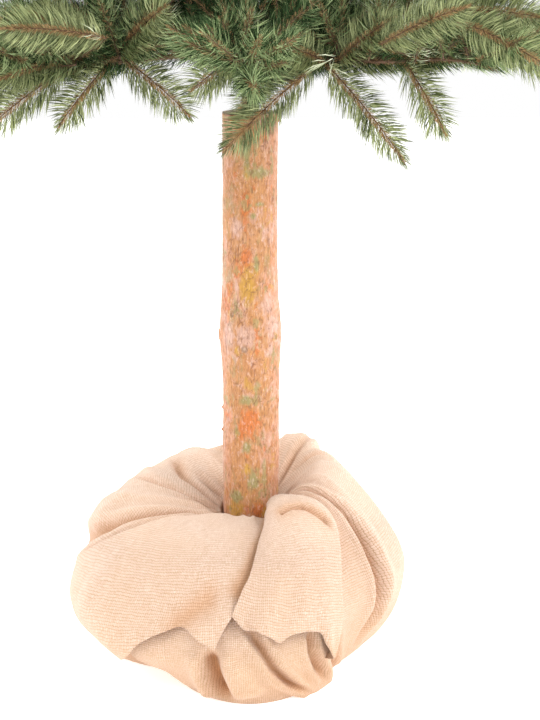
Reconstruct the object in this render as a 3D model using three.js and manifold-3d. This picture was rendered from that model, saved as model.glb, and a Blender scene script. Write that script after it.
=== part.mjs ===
// An artificial fir tree on a length of real pine log, in millimetres, Z up.
// The log stands in a bucket of set concrete, and a burlap cloth is wrapped round the bucket.
// A painted steel pole rises from the log's top. Slotted collars on it carry wire boughs in tiers,
// and each bough ends in one mass of twigs with toothed blades of needles.
// The origin is the middle of the flat underside of the wrap, on the log's axis.

import * as THREE from "three";
import { mergeVertices } from "three/addons/utils/BufferGeometryUtils.js";
import Module from "manifold-3d";

const wasm = await Module();
wasm.setup();

const TREE_HEIGHT = 2200;
const GAP = 0.3; // air between two pieces that touch
const SLIVER = 0.2; // detail finer than this is tidied away after a union

// Log
const LOG_RADIUS = 51;
const LOG_TOP = 1000; // flat cut under the crown
const LOG_FOOT = 45; // flat cut, set in the concrete
const LOG_SIDES = 18;
const LOG_PLAIN_UP_TO = 330; // below this height it has no knots
const KNOT_RING_HEIGHT = 600; // a whorl of old branch scars swells the log here
const KNOT_RING_SWELL = 5.5;
const KNOT_RING_REACH = 62;

// Bucket and what fills it
const CLOTH_UNDER_BUCKET = 3;
const BUCKET_FOOT_RADIUS = 112;
const BUCKET_RIM_RADIUS = 136;
const BUCKET_WALL = 3;
const BUCKET_BASE = CLOTH_UNDER_BUCKET + GAP;
const BUCKET_RIM = 214;
const BUCKET_SIDES = 28;
const FILLING_TOP = 196;

// Pole and collars
const POLE_RADIUS = 15;
const POLE_TOP_RADIUS = 12;
const POLE_WALL = 2.5;
const POLE_IN_LOG = 90;
const POLE_STEP_HEIGHT = 1530; // the upper section is thinner and plugs into the lower one
const POLE_TOP = 1900;
const POLE_SIDES = 16;
const COLLAR_RADIUS = 30;
const COLLAR_HEIGHT = 26;

// Crown: each tier is one whorl of boughs on one collar, and a mass of needles at each bough's end
const TIERS = [
  { height: 1100, boughs: 7, reach: 620, lift: -0.1, turn: 12, pairs: 3, teeth: 3 },
  { height: 1275, boughs: 6, reach: 520, lift: -0.01, turn: 40, pairs: 2, teeth: 3 },
  { height: 1450, boughs: 5, reach: 420, lift: 0.08, turn: 5, pairs: 2, teeth: 2 },
  { height: 1615, boughs: 4, reach: 325, lift: 0.17, turn: 30, pairs: 2, teeth: 2 },
  { height: 1765, boughs: 4, reach: 235, lift: 0.3, turn: 78.75, pairs: 2, teeth: 2, bare: true },
];
const TOP_TIER_HEIGHT = 1905; // a stand-in tier for where the topmost mass begins
const BOUGH_SHARE = 0.2; // of the reach, before the needles begin
const BOUGH_SAG = 0.18;
const BOUGH_ROOT_RADIUS = 6;
const BOUGH_TIP_RADIUS = 4.6;
const BOUGH_SIDES = 5;
const STEM_RADIUS = 6.5;
const STEM_SIDES = 3;
const CROWN_FOOT = 935; // no needle hangs lower

// Blades of needles
const BLADE_LENGTH = 225;
const BLADE_WIDTH = 0.62; // of its length
const BLADE_RIDGE = 6;
const BLADE_ANGLE = 50; // degrees from the stem it grows on
const SPACE_MARGIN = 1.2; // a mass keeps this far inside its own space

const RAD = Math.PI / 180;

// A repeatable run of numbers from 0 to 1.
function seeded(seed) {
  let state = seed;
  return () => {
    state = (state * 16807) % 2147483647;
    return state / 2147483647;
  };
}

function smooth(share) {
  const s = Math.min(1, Math.max(0, share));
  return s * s * (3 - 2 * s);
}

// Solids

function solidOf(geometry) {
  const bare = new THREE.BufferGeometry();
  bare.setAttribute("position", geometry.getAttribute("position").clone());
  if (geometry.index) bare.setIndex(geometry.index.clone());
  const merged = mergeVertices(bare, 1e-4);
  return new wasm.Manifold(
    new wasm.Mesh({
      numProp: 3,
      vertProperties: merged.attributes.position.array,
      triVerts: new Uint32Array(merged.index.array),
    }),
  );
}

function geometryOf(solid) {
  const mesh = solid.getMesh();
  const geometry = new THREE.BufferGeometry();
  geometry.setAttribute("position", new THREE.BufferAttribute(new Float32Array(mesh.vertProperties), 3));
  geometry.setIndex(new THREE.BufferAttribute(new Uint32Array(mesh.triVerts), 1));
  geometry.computeVertexNormals();
  return geometry;
}

function indexed(points, triangles) {
  const geometry = new THREE.BufferGeometry();
  geometry.setAttribute(
    "position",
    new THREE.Float32BufferAttribute(points.flatMap((p) => [p.x, p.y, p.z]), 3),
  );
  geometry.setIndex(triangles.flat());
  return geometry;
}

// A skin over rings of equal length, closed by a flat fan at each end. Each ring turns left
// about the way from the first ring to the last.
function skin(rings) {
  const sides = rings[0].length;
  const points = rings.flat();
  const triangles = [];
  for (let ring = 0; ring + 1 < rings.length; ring++) {
    for (let i = 0; i < sides; i++) {
      const a = ring * sides + i;
      const b = ring * sides + ((i + 1) % sides);
      triangles.push([a, b, b + sides], [a, b + sides, a + sides]);
    }
  }
  for (const [ring, first, second] of [
    [0, 1, 0],
    [rings.length - 1, 0, 1],
  ]) {
    const middle = new THREE.Vector3();
    rings[ring].forEach((p) => middle.addScaledVector(p, 1 / sides));
    const centre = points.push(middle) - 1;
    for (let i = 0; i < sides; i++) {
      const edge = [ring * sides + i, ring * sides + ((i + 1) % sides)];
      triangles.push([centre, edge[first], edge[second]]);
    }
  }
  return indexed(points, triangles);
}

// A solid turned about the Z axis from a closed profile of [radius, height].
function turned(profile, sides) {
  const lathe = new THREE.LatheGeometry(
    profile.map(([radius, height]) => new THREE.Vector2(radius, height)),
    sides,
  );
  lathe.rotateX(Math.PI / 2);
  const solid = solidOf(lathe);
  if (solid.volume() > 0) return solid;
  const flipped = lathe.toNonIndexed();
  const at = flipped.getAttribute("position");
  for (let i = 0; i < at.count; i += 3) {
    const second = new THREE.Vector3().fromBufferAttribute(at, i + 1);
    const third = new THREE.Vector3().fromBufferAttribute(at, i + 2);
    at.setXYZ(i + 1, third.x, third.y, third.z);
    at.setXYZ(i + 2, second.x, second.y, second.z);
  }
  return solidOf(flipped);
}

// A limb of round section along a curve, thinning from one radius to the other.
function limb(curve, radiusAtRoot, radiusAtTip, steps, sides) {
  const rings = [];
  for (let step = 0; step <= steps; step++) {
    const share = step / steps;
    const centre = curve.getPoint(share);
    const along = curve.getTangent(share);
    const across = new THREE.Vector3(0, 0, 1).cross(along).normalize();
    const up = along.clone().cross(across);
    const radius = THREE.MathUtils.lerp(radiusAtRoot, radiusAtTip, share);
    const ring = [];
    for (let side = 0; side < sides; side++) {
      const angle = (2 * Math.PI * (side + 0.5)) / sides;
      ring.push(
        centre
          .clone()
          .addScaledVector(across, radius * Math.cos(angle))
          .addScaledVector(up, radius * Math.sin(angle)),
      );
    }
    rings.push(ring);
  }
  return solidOf(skin(rings));
}

// Log: a tapered pole of pine with a swollen ring of branch scars, and a hole in its top for the pole

function logRadius(height) {
  const taper = THREE.MathUtils.lerp(1.015, 0.985, (height - LOG_FOOT) / (LOG_TOP - LOG_FOOT));
  const fromRing = (height - KNOT_RING_HEIGHT) / KNOT_RING_REACH;
  return LOG_RADIUS * taper + KNOT_RING_SWELL * Math.exp(-fromRing * fromRing);
}

function logSolid() {
  const plain = LOG_RADIUS * 1.015;
  const heights = [LOG_FOOT, LOG_PLAIN_UP_TO];
  for (let height = 390; height < LOG_TOP - 20; height += 42) heights.push(height);
  heights.push(LOG_TOP - 4, LOG_TOP);
  const rings = heights.map((height) => {
    const ring = [];
    for (let side = 0; side < LOG_SIDES; side++) {
      const angle = (2 * Math.PI * side) / LOG_SIDES;
      const uneven =
        1.2 * Math.sin(2 * angle + height / 170) + 0.8 * Math.sin(3 * angle - height / 95);
      const radius = height <= LOG_PLAIN_UP_TO ? plain : logRadius(height) + uneven;
      const cut = height === LOG_TOP ? 3 : 0;
      ring.push(
        new THREE.Vector3(
          (radius - cut) * Math.cos(angle),
          (radius - cut) * Math.sin(angle),
          height,
        ),
      );
    }
    return ring;
  });
  const hole = turned(
    [
      [0, LOG_TOP - POLE_IN_LOG - GAP],
      [POLE_RADIUS + GAP, LOG_TOP - POLE_IN_LOG - GAP],
      [POLE_RADIUS + GAP, LOG_TOP + 5],
      [0, LOG_TOP + 5],
    ],
    POLE_SIDES,
  );
  return solidOf(skin(rings)).subtract(hole);
}

// Pole: a steel tube in two diameters, open below and capped above

function poleSolid() {
  const foot = LOG_TOP - POLE_IN_LOG;
  return turned(
    [
      [POLE_RADIUS - POLE_WALL, foot],
      [POLE_RADIUS, foot],
      [POLE_RADIUS, POLE_STEP_HEIGHT],
      [POLE_TOP_RADIUS, POLE_STEP_HEIGHT + 4],
      [POLE_TOP_RADIUS, POLE_TOP - 2],
      [POLE_TOP_RADIUS - 2, POLE_TOP],
      [0, POLE_TOP],
      [0, POLE_TOP - 6],
      [POLE_TOP_RADIUS - POLE_WALL, POLE_TOP - 6],
      [POLE_TOP_RADIUS - POLE_WALL, POLE_STEP_HEIGHT + 4],
      [POLE_RADIUS - POLE_WALL, POLE_STEP_HEIGHT],
      [POLE_RADIUS - POLE_WALL, foot],
    ],
    POLE_SIDES,
  );
}

function poleRadiusAt(height) {
  return height > POLE_STEP_HEIGHT ? POLE_TOP_RADIUS : POLE_RADIUS;
}

// Collar: a ring clamped on the pole, with one flat for each bough's hook

function collarSolid(tier) {
  const inside = (poleRadiusAt(tier.height) + GAP) / Math.cos(Math.PI / (2 * tier.boughs));
  const middle = boughHeight(tier, COLLAR_RADIUS);
  const low = middle - COLLAR_HEIGHT / 2;
  const high = middle + COLLAR_HEIGHT / 2;
  const ring = turned(
    [
      [inside, low],
      [COLLAR_RADIUS, low],
      [COLLAR_RADIUS, high],
      [inside, high],
      [inside, low],
    ],
    2 * tier.boughs,
  );
  // LatheGeometry puts a corner at its start, and each bough faces the middle of a flat.
  return ring.rotate([0, 0, tier.turn - 90 + 90 / tier.boughs]);
}

// Bucket: a tapered pail, and the concrete in it that holds the log's foot

function bucketRadius(height) {
  return THREE.MathUtils.lerp(
    BUCKET_FOOT_RADIUS,
    BUCKET_RIM_RADIUS,
    (height - BUCKET_BASE) / (BUCKET_RIM - BUCKET_BASE),
  );
}

function bucketSolid() {
  const floor = BUCKET_BASE + BUCKET_WALL;
  return turned(
    [
      [0, BUCKET_BASE],
      [BUCKET_FOOT_RADIUS, BUCKET_BASE],
      [BUCKET_RIM_RADIUS, BUCKET_RIM],
      [bucketRadius(BUCKET_RIM) - BUCKET_WALL, BUCKET_RIM],
      [bucketRadius(floor) - BUCKET_WALL, floor],
      [0, floor],
    ],
    BUCKET_SIDES,
  );
}

function fillingSolid() {
  const foot = BUCKET_BASE + BUCKET_WALL + GAP;
  const inset = BUCKET_WALL + 2 * GAP;
  const block = turned(
    [
      [0, foot],
      [bucketRadius(foot) - inset, foot],
      [bucketRadius(FILLING_TOP) - inset, FILLING_TOP],
      [0, FILLING_TOP],
    ],
    BUCKET_SIDES,
  );
  return block.subtract(logSpace(LOG_FOOT - GAP, FILLING_TOP + 5));
}

// The log's plain foot, grown by the gap, to cut its neighbours with.
function logSpace(low, high) {
  const radius = LOG_RADIUS * 1.015 + 2 * GAP;
  const space = turned(
    [
      [0, low],
      [radius, low],
      [radius, high],
      [0, high],
    ],
    LOG_SIDES,
  );
  return space.rotate([0, 0, 90]);
}

// Wrap: a burlap cloth gathered up round the bucket and turned outwards in broad flaps.
// A place on it is an angle, in degrees round the log from +X, and a share from the log to the floor.

const WRAP_LIP_RADIUS = 58;
const WRAP_AROUND = 60;
const WRAP_DOWN = 15;

// Every 45 degrees from +X: the ridge round the log, the shoulder, the fullest place, the foot.
const WRAP_STATIONS = [
  { ridge: [126, 330], shoulder: [214, 272], bulge: [286, 148], foot: 206 },
  { ridge: [160, 338], shoulder: [238, 280], bulge: [292, 148], foot: 222 },
  { ridge: [185, 338], shoulder: [262, 284], bulge: [302, 145], foot: 232 },
  { ridge: [190, 318], shoulder: [272, 268], bulge: [314, 145], foot: 240 },
  { ridge: [172, 292], shoulder: [272, 262], bulge: [326, 130], foot: 258 },
  { ridge: [120, 266], shoulder: [228, 232], bulge: [318, 122], foot: 246 },
  { ridge: [98, 256], shoulder: [206, 222], bulge: [302, 118], foot: 302 },
  { ridge: [110, 292], shoulder: [182, 262], bulge: [248, 140], foot: 206 },
];

// Catmull-Rom between four even stations.
function between(before, start, end, after, share) {
  const slopeStart = (end - before) / 2;
  const slopeEnd = (after - start) / 2;
  const [s, s2, s3] = [share, share ** 2, share ** 3];
  return (
    (2 * s3 - 3 * s2 + 1) * start +
    (s3 - 2 * s2 + s) * slopeStart +
    (3 * s2 - 2 * s3) * end +
    (s3 - s2) * slopeEnd
  );
}

function wrapProfile(angle) {
  const count = WRAP_STATIONS.length;
  const at = ((angle / 360) * count + count) % count;
  const first = Math.floor(at);
  const near = [-1, 0, 1, 2].map((step) => WRAP_STATIONS[(first + step + count) % count]);
  const value = (pick) => between(...near.map(pick), at - first);
  const ridge = [value((s) => s.ridge[0]), value((s) => s.ridge[1])];
  const shoulder = [value((s) => s.shoulder[0]), value((s) => s.shoulder[1])];
  const bulge = [value((s) => s.bulge[0]), value((s) => s.bulge[1])];
  const foot = value((s) => s.foot);
  return new THREE.SplineCurve([
    new THREE.Vector2(WRAP_LIP_RADIUS, 250 + 0.3 * (ridge[1] - 256)),
    new THREE.Vector2(...ridge),
    new THREE.Vector2(...shoulder),
    new THREE.Vector2(...bulge),
    new THREE.Vector2(0.5 * (bulge[0] + foot) + 10, 42),
    new THREE.Vector2(foot, 0),
  ]);
}

function wrapPoint(angle, share) {
  const at = wrapProfile(angle).getPoint(Math.min(1, Math.max(0, share)));
  return new THREE.Vector3(at.x * Math.cos(angle * RAD), at.x * Math.sin(angle * RAD), at.y);
}

// The place raised along the outward normal.
function wrapRaised(angle, share, lift) {
  const aside = wrapPoint(angle + 0.5, share).sub(wrapPoint(angle - 0.5, share));
  const down = wrapPoint(angle, share + 0.01).sub(wrapPoint(angle, share - 0.01));
  return wrapPoint(angle, share).addScaledVector(down.cross(aside).normalize(), lift);
}

// A flap of the cloth lies over the rest inside its outline, a run of [angle, share] places.
// It stands off more at the end of its outline's angles that comes first in its lift.
const FLAPS = [
  {
    outline: [
      [303, 0.02], [240, 0.13], [202, 0.2], [186, 0.42], [170, 0.56],
      [170, 0.84], [200, 0.8], [216, 0.74], [232, 0.68], [248, 0.7], [258, 0.74],
    ],
    lift: { angles: [280, 190], heights: [15, 5] },
  },
  {
    outline: [
      [305, 0.02], [264, 0.61], [276, 0.69], [292, 0.68], [306, 0.7], [320, 0.93],
      [336, 0.6], [345, 0.3], [340, 0.12], [325, 0.03],
    ],
    lift: { angles: [300, 345], heights: [20, 24] },
  },
  {
    outline: [
      [348, 0.93], [341, 0.75], [341, 0.55], [346, 0.36], [362, 0.2], [390, 0.1], [430, 0.08],
      [440, 0.9], [390, 0.88],
    ],
    lift: { angles: [350, 425], heights: [16, 2] },
  },
];
const FLAP_STEP = 18; // width of cloth over which a flap's edge rises
const ALONG_ANGLE = 300 * RAD; // mm of cloth a degree, at the fullest place
const ALONG_SHARE = 490; // mm of cloth from the log to the floor

// How far inside the outline a place lies, in mm of cloth, and below 0 outside it.
function insideBy(outline, angle, share) {
  const x = angle * ALONG_ANGLE;
  const y = share * ALONG_SHARE;
  let inside = false;
  let nearest = Infinity;
  outline.forEach(([endAngle, endShare], i) => {
    const [startAngle, startShare] = outline[(i + outline.length - 1) % outline.length];
    const [x1, y1] = [startAngle * ALONG_ANGLE, startShare * ALONG_SHARE];
    const [x2, y2] = [endAngle * ALONG_ANGLE, endShare * ALONG_SHARE];
    if (y1 > y !== y2 > y && x < x1 + ((y - y1) / (y2 - y1)) * (x2 - x1)) inside = !inside;
    const [dx, dy] = [x2 - x1, y2 - y1];
    const along = ((x - x1) * dx + (y - y1) * dy) / (dx * dx + dy * dy);
    const held = Math.min(1, Math.max(0, along));
    nearest = Math.min(nearest, Math.hypot(x - x1 - held * dx, y - y1 - held * dy));
  });
  return inside ? nearest : -nearest;
}

function clothLift(angle, share) {
  let lift =
    (3 * Math.sin((9 * angle + 40) * RAD) + 2 * Math.sin((5 * angle - 70) * RAD)) *
    Math.sin(Math.PI * share);
  for (const { outline, lift: { angles, heights } } of FLAPS) {
    for (const round of [angle, angle + 360]) {
      const edge = smooth(insideBy(outline, round, share) / FLAP_STEP + 0.5);
      const along = smooth((round - angles[0]) / (angles[1] - angles[0]));
      lift += edge * THREE.MathUtils.lerp(heights[0], heights[1], along);
    }
  }
  return lift;
}

function wrapSolid() {
  const rings = [];
  for (let row = WRAP_DOWN; row >= 0; row--) {
    const share = row / WRAP_DOWN;
    const ring = [];
    for (let side = 0; side < WRAP_AROUND; side++) {
      const angle = (360 * side) / WRAP_AROUND;
      const flat = row === WRAP_DOWN || row === 0;
      const point = wrapRaised(angle, share, flat ? 0 : clothLift(angle, share));
      if (row === WRAP_DOWN) point.z = 0;
      ring.push(point);
    }
    rings.push(ring);
  }
  const bucketSpace = turned(
    [
      [0, BUCKET_BASE - GAP],
      [BUCKET_FOOT_RADIUS + 2 * GAP, BUCKET_BASE - GAP],
      [BUCKET_RIM_RADIUS + 2 * GAP, BUCKET_RIM + GAP],
      [0, BUCKET_RIM + GAP],
    ],
    BUCKET_SIDES,
  );
  return solidOf(skin(rings)).subtract(bucketSpace).subtract(logSpace(200, 420));
}

// Boughs: a wire leaves its collar and sags a little towards the tip

function boughHeight(tier, radius) {
  return tier.height + radius * (tier.lift + BOUGH_SAG * (1 - radius / tier.reach));
}

// A point on the line of a bough, and of the stem that carries on from it.
function onBough(tier, azimuth, radius) {
  const turn = azimuth * RAD;
  return new THREE.Vector3(
    radius * Math.cos(turn),
    radius * Math.sin(turn),
    boughHeight(tier, radius),
  );
}

function boughCurve(tier, azimuth, from, to) {
  const points = [];
  for (let step = 0; step <= 4; step++) {
    points.push(onBough(tier, azimuth, THREE.MathUtils.lerp(from, to, step / 4)));
  }
  return new THREE.CatmullRomCurve3(points);
}

// Where a limb starts outside a face at the given radius, so that its slanting end stays clear.
function startOutside(face, tier, radius, sides) {
  const slope = Math.atan(tier.lift + BOUGH_SAG * (1 - (2 * face) / tier.reach));
  const halfHeight = radius * Math.cos(Math.PI / (2 * sides));
  return face + GAP + halfHeight * Math.abs(Math.sin(slope));
}

function boughSolid(tier, azimuth) {
  const flat = COLLAR_RADIUS * Math.cos(Math.PI / (2 * tier.boughs));
  const root = startOutside(flat, tier, BOUGH_ROOT_RADIUS, BOUGH_SIDES);
  const curve = boughCurve(tier, azimuth, root, BOUGH_SHARE * tier.reach);
  return limb(curve, BOUGH_ROOT_RADIUS, BOUGH_TIP_RADIUS, 3, BOUGH_SIDES);
}

// Masses of needles

// The space that one mass keeps to: its share of the round, between its own tier's
// neighbours above and below, inside the crown's outline.
function massSpace(level, azimuth) {
  const tier = TIERS[level];
  const halfAngle = Math.PI / tier.boughs;
  const outward = new THREE.Vector2(Math.cos(azimuth * RAD), Math.sin(azimuth * RAD));
  return (point) => {
    const flat = new THREE.Vector2(point.x, point.y);
    const radius = flat.length();
    if (radius > tier.reach + 2 || radius < poleRadiusAt(point.z) + 4) return false;
    const ahead = flat.dot(outward);
    const aside = Math.abs(flat.cross(outward));
    if (ahead * Math.sin(halfAngle) - aside * Math.cos(halfAngle) < SPACE_MARGIN) return false;
    if (point.z < floorUnder(level, radius) || point.z > ceilingOver(level, radius)) return false;
    return Math.hypot(radius, point.z - tier.height) > 40;
  };
}

function betweenTiers(level, radius) {
  const upper = TIERS[level + 1] ?? { height: TOP_TIER_HEIGHT, reach: 150, lift: 0.5 };
  return 0.5 * (boughHeight(TIERS[level], radius) + boughHeight(upper, radius));
}

function floorUnder(level, radius) {
  if (level > 0) return betweenTiers(level - 1, radius) + SPACE_MARGIN;
  return radius < LOG_RADIUS + 12 ? LOG_TOP + 8 : CROWN_FOOT;
}

function ceilingOver(level, radius) {
  return betweenTiers(level, radius) - SPACE_MARGIN;
}

// A toothed blade of needles: flat below, ridged above, its teeth slanting towards the tip.
// It grows from its root along a direction and lies across the given sideways direction.
function bladePoints(root, along, across, length, teeth) {
  const width = BLADE_WIDTH * length;
  const up = along.clone().cross(across).normalize();
  const place = (x, y, z) =>
    root.clone().addScaledVector(along, x).addScaledVector(across, y).addScaledVector(up, z);
  const slant = 0.34 * width;
  const pitch = (length - slant) / (teeth + 0.35);
  const ridge = [];
  const left = [];
  const right = [];
  for (let tooth = 0; tooth <= teeth; tooth++) {
    const at = tooth * pitch;
    const share = at / length;
    const notch = tooth === 0 ? 3.5 : 0.2 * width * (1 - 0.55 * share);
    ridge.push(place(at, 0, BLADE_RIDGE * (1 - 0.5 * share)));
    left.push(place(at + notch, notch, 0));
    right.push(place(at + notch, -notch, 0));
    if (tooth < teeth) {
      const reach = 0.5 * width * (1 - 0.3 * Math.abs(share - 0.35));
      left.push(place(at + pitch * 0.75 + slant, reach, 0));
      right.push(place(at + pitch * 0.75 + slant, -reach, 0));
    }
  }
  return { ridge, left, right, tip: place(length, 0, 0) };
}

function bladeSolid({ ridge, left, right, tip }) {
  const points = [...ridge, ...left, ...right, tip];
  const leftAt = (i) => ridge.length + i;
  const rightAt = (i) => ridge.length + left.length + i;
  const tipAt = points.length - 1;
  const last = left.length - 1;
  const end = ridge.length - 1;
  const triangles = [];
  for (let tooth = 0; tooth < end; tooth++) {
    const [notch, peak, next] = [2 * tooth, 2 * tooth + 1, 2 * tooth + 2];
    const [near, far] = [tooth, tooth + 1];
    triangles.push([near, leftAt(peak), leftAt(notch)]);
    triangles.push([near, far, leftAt(peak)]);
    triangles.push([far, leftAt(next), leftAt(peak)]);
    triangles.push([near, rightAt(notch), rightAt(peak)]);
    triangles.push([near, rightAt(peak), far]);
    triangles.push([far, rightAt(peak), rightAt(next)]);
    triangles.push([leftAt(notch), leftAt(peak), leftAt(next)]);
    triangles.push([rightAt(notch), rightAt(next), rightAt(peak)]);
    triangles.push([leftAt(notch), leftAt(next), rightAt(notch)]);
    triangles.push([leftAt(next), rightAt(next), rightAt(notch)]);
  }
  triangles.push([end, tipAt, leftAt(last)], [end, rightAt(last), tipAt]);
  triangles.push([leftAt(last), tipAt, rightAt(last)]);
  triangles.push([0, leftAt(0), rightAt(0)]);
  return solidOf(indexed(points, triangles));
}

// The blades of one mass: pairs along the stem that point outwards, some above and below it,
// and one at its end. A blade that would leave the mass's space is shortened, then skipped.
function bladesOf(level, azimuth, inSpace) {
  const tier = TIERS[level];
  const random = seeded(1000 * (level + 1) + Math.round(azimuth) + 7);
  const start = tier.bare ? 0.2 * tier.reach : (BOUGH_SHARE + 0.05) * tier.reach;
  const end = tier.reach - 0.8 * Math.min(BLADE_LENGTH, 0.42 * tier.reach);
  const full = Math.min(BLADE_LENGTH, 0.58 * tier.reach);
  const wanted = [{ radius: end - 8, yaw: 0, pitch: -4, scale: 1 }];
  for (let pair = 0; pair < tier.pairs; pair++) {
    const radius = THREE.MathUtils.lerp(start, end - 20, (pair + 0.25) / tier.pairs);
    for (const side of [-1, 1]) {
      const yaw = side * (BLADE_ANGLE + 10 * (random() - 0.5));
      const pitch = ((pair % 2 ? 20 : -16) + 10 * (random() - 0.5)) * (side > 0 ? 1 : 0.7);
      wanted.push({ radius: radius + side * 7, yaw, pitch, scale: 1 });
    }
  }
  for (const [share, pitch] of [[0.25, 46], [0.7, 34], [0.45, -40]]) {
    if (level > 2 && share > 0.6) continue;
    const radius = THREE.MathUtils.lerp(start, end, share);
    wanted.push({ radius, yaw: 26 * (random() - 0.5), pitch, scale: 0.9 });
  }
  const blades = [];
  for (const { radius, yaw, pitch, scale } of wanted) {
    const root = onBough(tier, azimuth, radius);
    const stem = onBough(tier, azimuth, radius + 5).sub(root).normalize();
    const side = new THREE.Vector3(0, 0, 1).cross(stem).normalize();
    const along = stem
      .clone()
      .applyAxisAngle(side, -pitch * RAD)
      .applyAxisAngle(new THREE.Vector3(0, 0, 1), yaw * RAD);
    const roll = 24 * (random() - 0.5);
    const across = new THREE.Vector3(0, 0, 1)
      .cross(along)
      .normalize()
      .applyAxisAngle(along, roll * RAD);
    for (const size of [1, 0.86, 0.72, 0.58]) {
      const outline = bladePoints(root, along, across, full * scale * size, tier.teeth);
      const corners = [...outline.ridge, ...outline.left, ...outline.right, outline.tip];
      if (!corners.every(inSpace)) continue;
      blades.push(bladeSolid(outline));
      break;
    }
  }
  return blades;
}

// The biggest connected body, with slivers left by the unions tidied away.
function largestPiece(solid) {
  const pieces = solid.simplify(SLIVER).decompose();
  return pieces.reduce((best, piece) => (piece.volume() > best.volume() ? piece : best));
}

function massSolid(level, azimuth) {
  const tier = TIERS[level];
  // A bare tier has no collar, and each of its stems faces one flat of the pole.
  const poleFlat = poleRadiusAt(tier.height) * Math.cos(Math.PI / POLE_SIDES);
  const from = tier.bare
    ? startOutside(poleFlat, tier, STEM_RADIUS, STEM_SIDES)
    : BOUGH_SHARE * tier.reach + GAP;
  const to = tier.reach - 0.62 * Math.min(BLADE_LENGTH, 0.42 * tier.reach);
  let solid = limb(boughCurve(tier, azimuth, from, to), STEM_RADIUS, 0.5 * STEM_RADIUS, 3, STEM_SIDES);
  for (const blade of bladesOf(level, azimuth, massSpace(level, azimuth))) {
    solid = solid.add(blade);
  }
  return largestPiece(solid);
}

// The topmost mass: a leader that stands on the pole's end, with whorls of rising blades
function topMassSolid() {
  const foot = POLE_TOP + GAP;
  const leader = new THREE.LineCurve3(
    new THREE.Vector3(0, 0, foot),
    new THREE.Vector3(0, 0, TREE_HEIGHT - 90),
  );
  const rings = [0, 0.5, 1].map((share) => {
    const radius = THREE.MathUtils.lerp(10, 4, share);
    return [0, 1, 2, 3, 4].map((side) => {
      const centre = leader.getPoint(share);
      const angle = (2 * Math.PI * side) / 5;
      return new THREE.Vector3(radius * Math.cos(angle), radius * Math.sin(angle), centre.z);
    });
  });
  let solid = solidOf(skin(rings));
  const whorls = [
    { height: foot + 30, count: 5, pitch: 36, length: 160, turn: 10 },
    { height: foot + 112, count: 4, pitch: 54, length: 135, turn: 50 },
  ];
  for (const { height, count, pitch, length, turn } of whorls) {
    for (let k = 0; k < count; k++) {
      const yaw = (360 * k) / count + turn;
      const along = new THREE.Vector3(Math.cos(pitch * RAD), 0, Math.sin(pitch * RAD));
      along.applyAxisAngle(new THREE.Vector3(0, 0, 1), yaw * RAD);
      const across = new THREE.Vector3(0, 0, 1).cross(along).normalize();
      const root = new THREE.Vector3(0, 0, height);
      solid = solid.add(bladeSolid(bladePoints(root, along, across, length, 2)));
    }
  }
  const up = new THREE.Vector3(0, 0, 1);
  const tipRoot = new THREE.Vector3(0, 0, TREE_HEIGHT - 150);
  const tip = bladePoints(tipRoot, up, new THREE.Vector3(1, 0, 0), 150, 2);
  return largestPiece(solid.add(bladeSolid(tip)));
}

// Materials

const BARK = new THREE.MeshStandardMaterial({ color: 0xd59a72, roughness: 0.85, metalness: 0 });
const BURLAP = new THREE.MeshStandardMaterial({ color: 0xe3c19a, roughness: 0.95, metalness: 0 });
const NEEDLE = new THREE.MeshStandardMaterial({ color: 0x4d6f47, roughness: 0.6, metalness: 0 });
const WIRE = new THREE.MeshStandardMaterial({ color: 0x7a4a2e, roughness: 0.8, metalness: 0 });
const STEEL = new THREE.MeshStandardMaterial({ color: 0x2e3f2c, roughness: 0.45, metalness: 0.3 });
const PLASTIC = new THREE.MeshStandardMaterial({ color: 0x33363a, roughness: 0.6, metalness: 0 });
const CONCRETE = new THREE.MeshStandardMaterial({ color: 0x9b9890, roughness: 0.95, metalness: 0 });

const tree = new THREE.Group();

function place(name, solid, material) {
  const mesh = new THREE.Mesh(geometryOf(solid), material);
  mesh.name = name;
  tree.add(mesh);
}

place("log", logSolid(), BARK);
place("bucket", bucketSolid(), PLASTIC);
place("bucket_filling", fillingSolid(), CONCRETE);
place("burlap_wrap", wrapSolid(), BURLAP);
place("pole", poleSolid(), STEEL);

TIERS.forEach((tier, level) => {
  if (!tier.bare) place(`collar_${level + 1}`, collarSolid(tier), STEEL);
  for (let k = 0; k < tier.boughs; k++) {
    const azimuth = tier.turn + (360 * k) / tier.boughs;
    const number = `${level + 1}_${k + 1}`;
    if (!tier.bare) place(`bough_${number}`, boughSolid(tier, azimuth), WIRE);
    place(`needles_${number}`, massSolid(level, azimuth), NEEDLE);
  }
});
place("needles_top", topMassSolid(), NEEDLE);

export default tree;
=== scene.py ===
"""An artificial christmas tree on a length of pine log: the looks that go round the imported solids.

Metres, Z up, the front towards -Y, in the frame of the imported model. The sections follow the tree as
it is put together, from the log in its bucket to the last needle.
"""
import math

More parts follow.
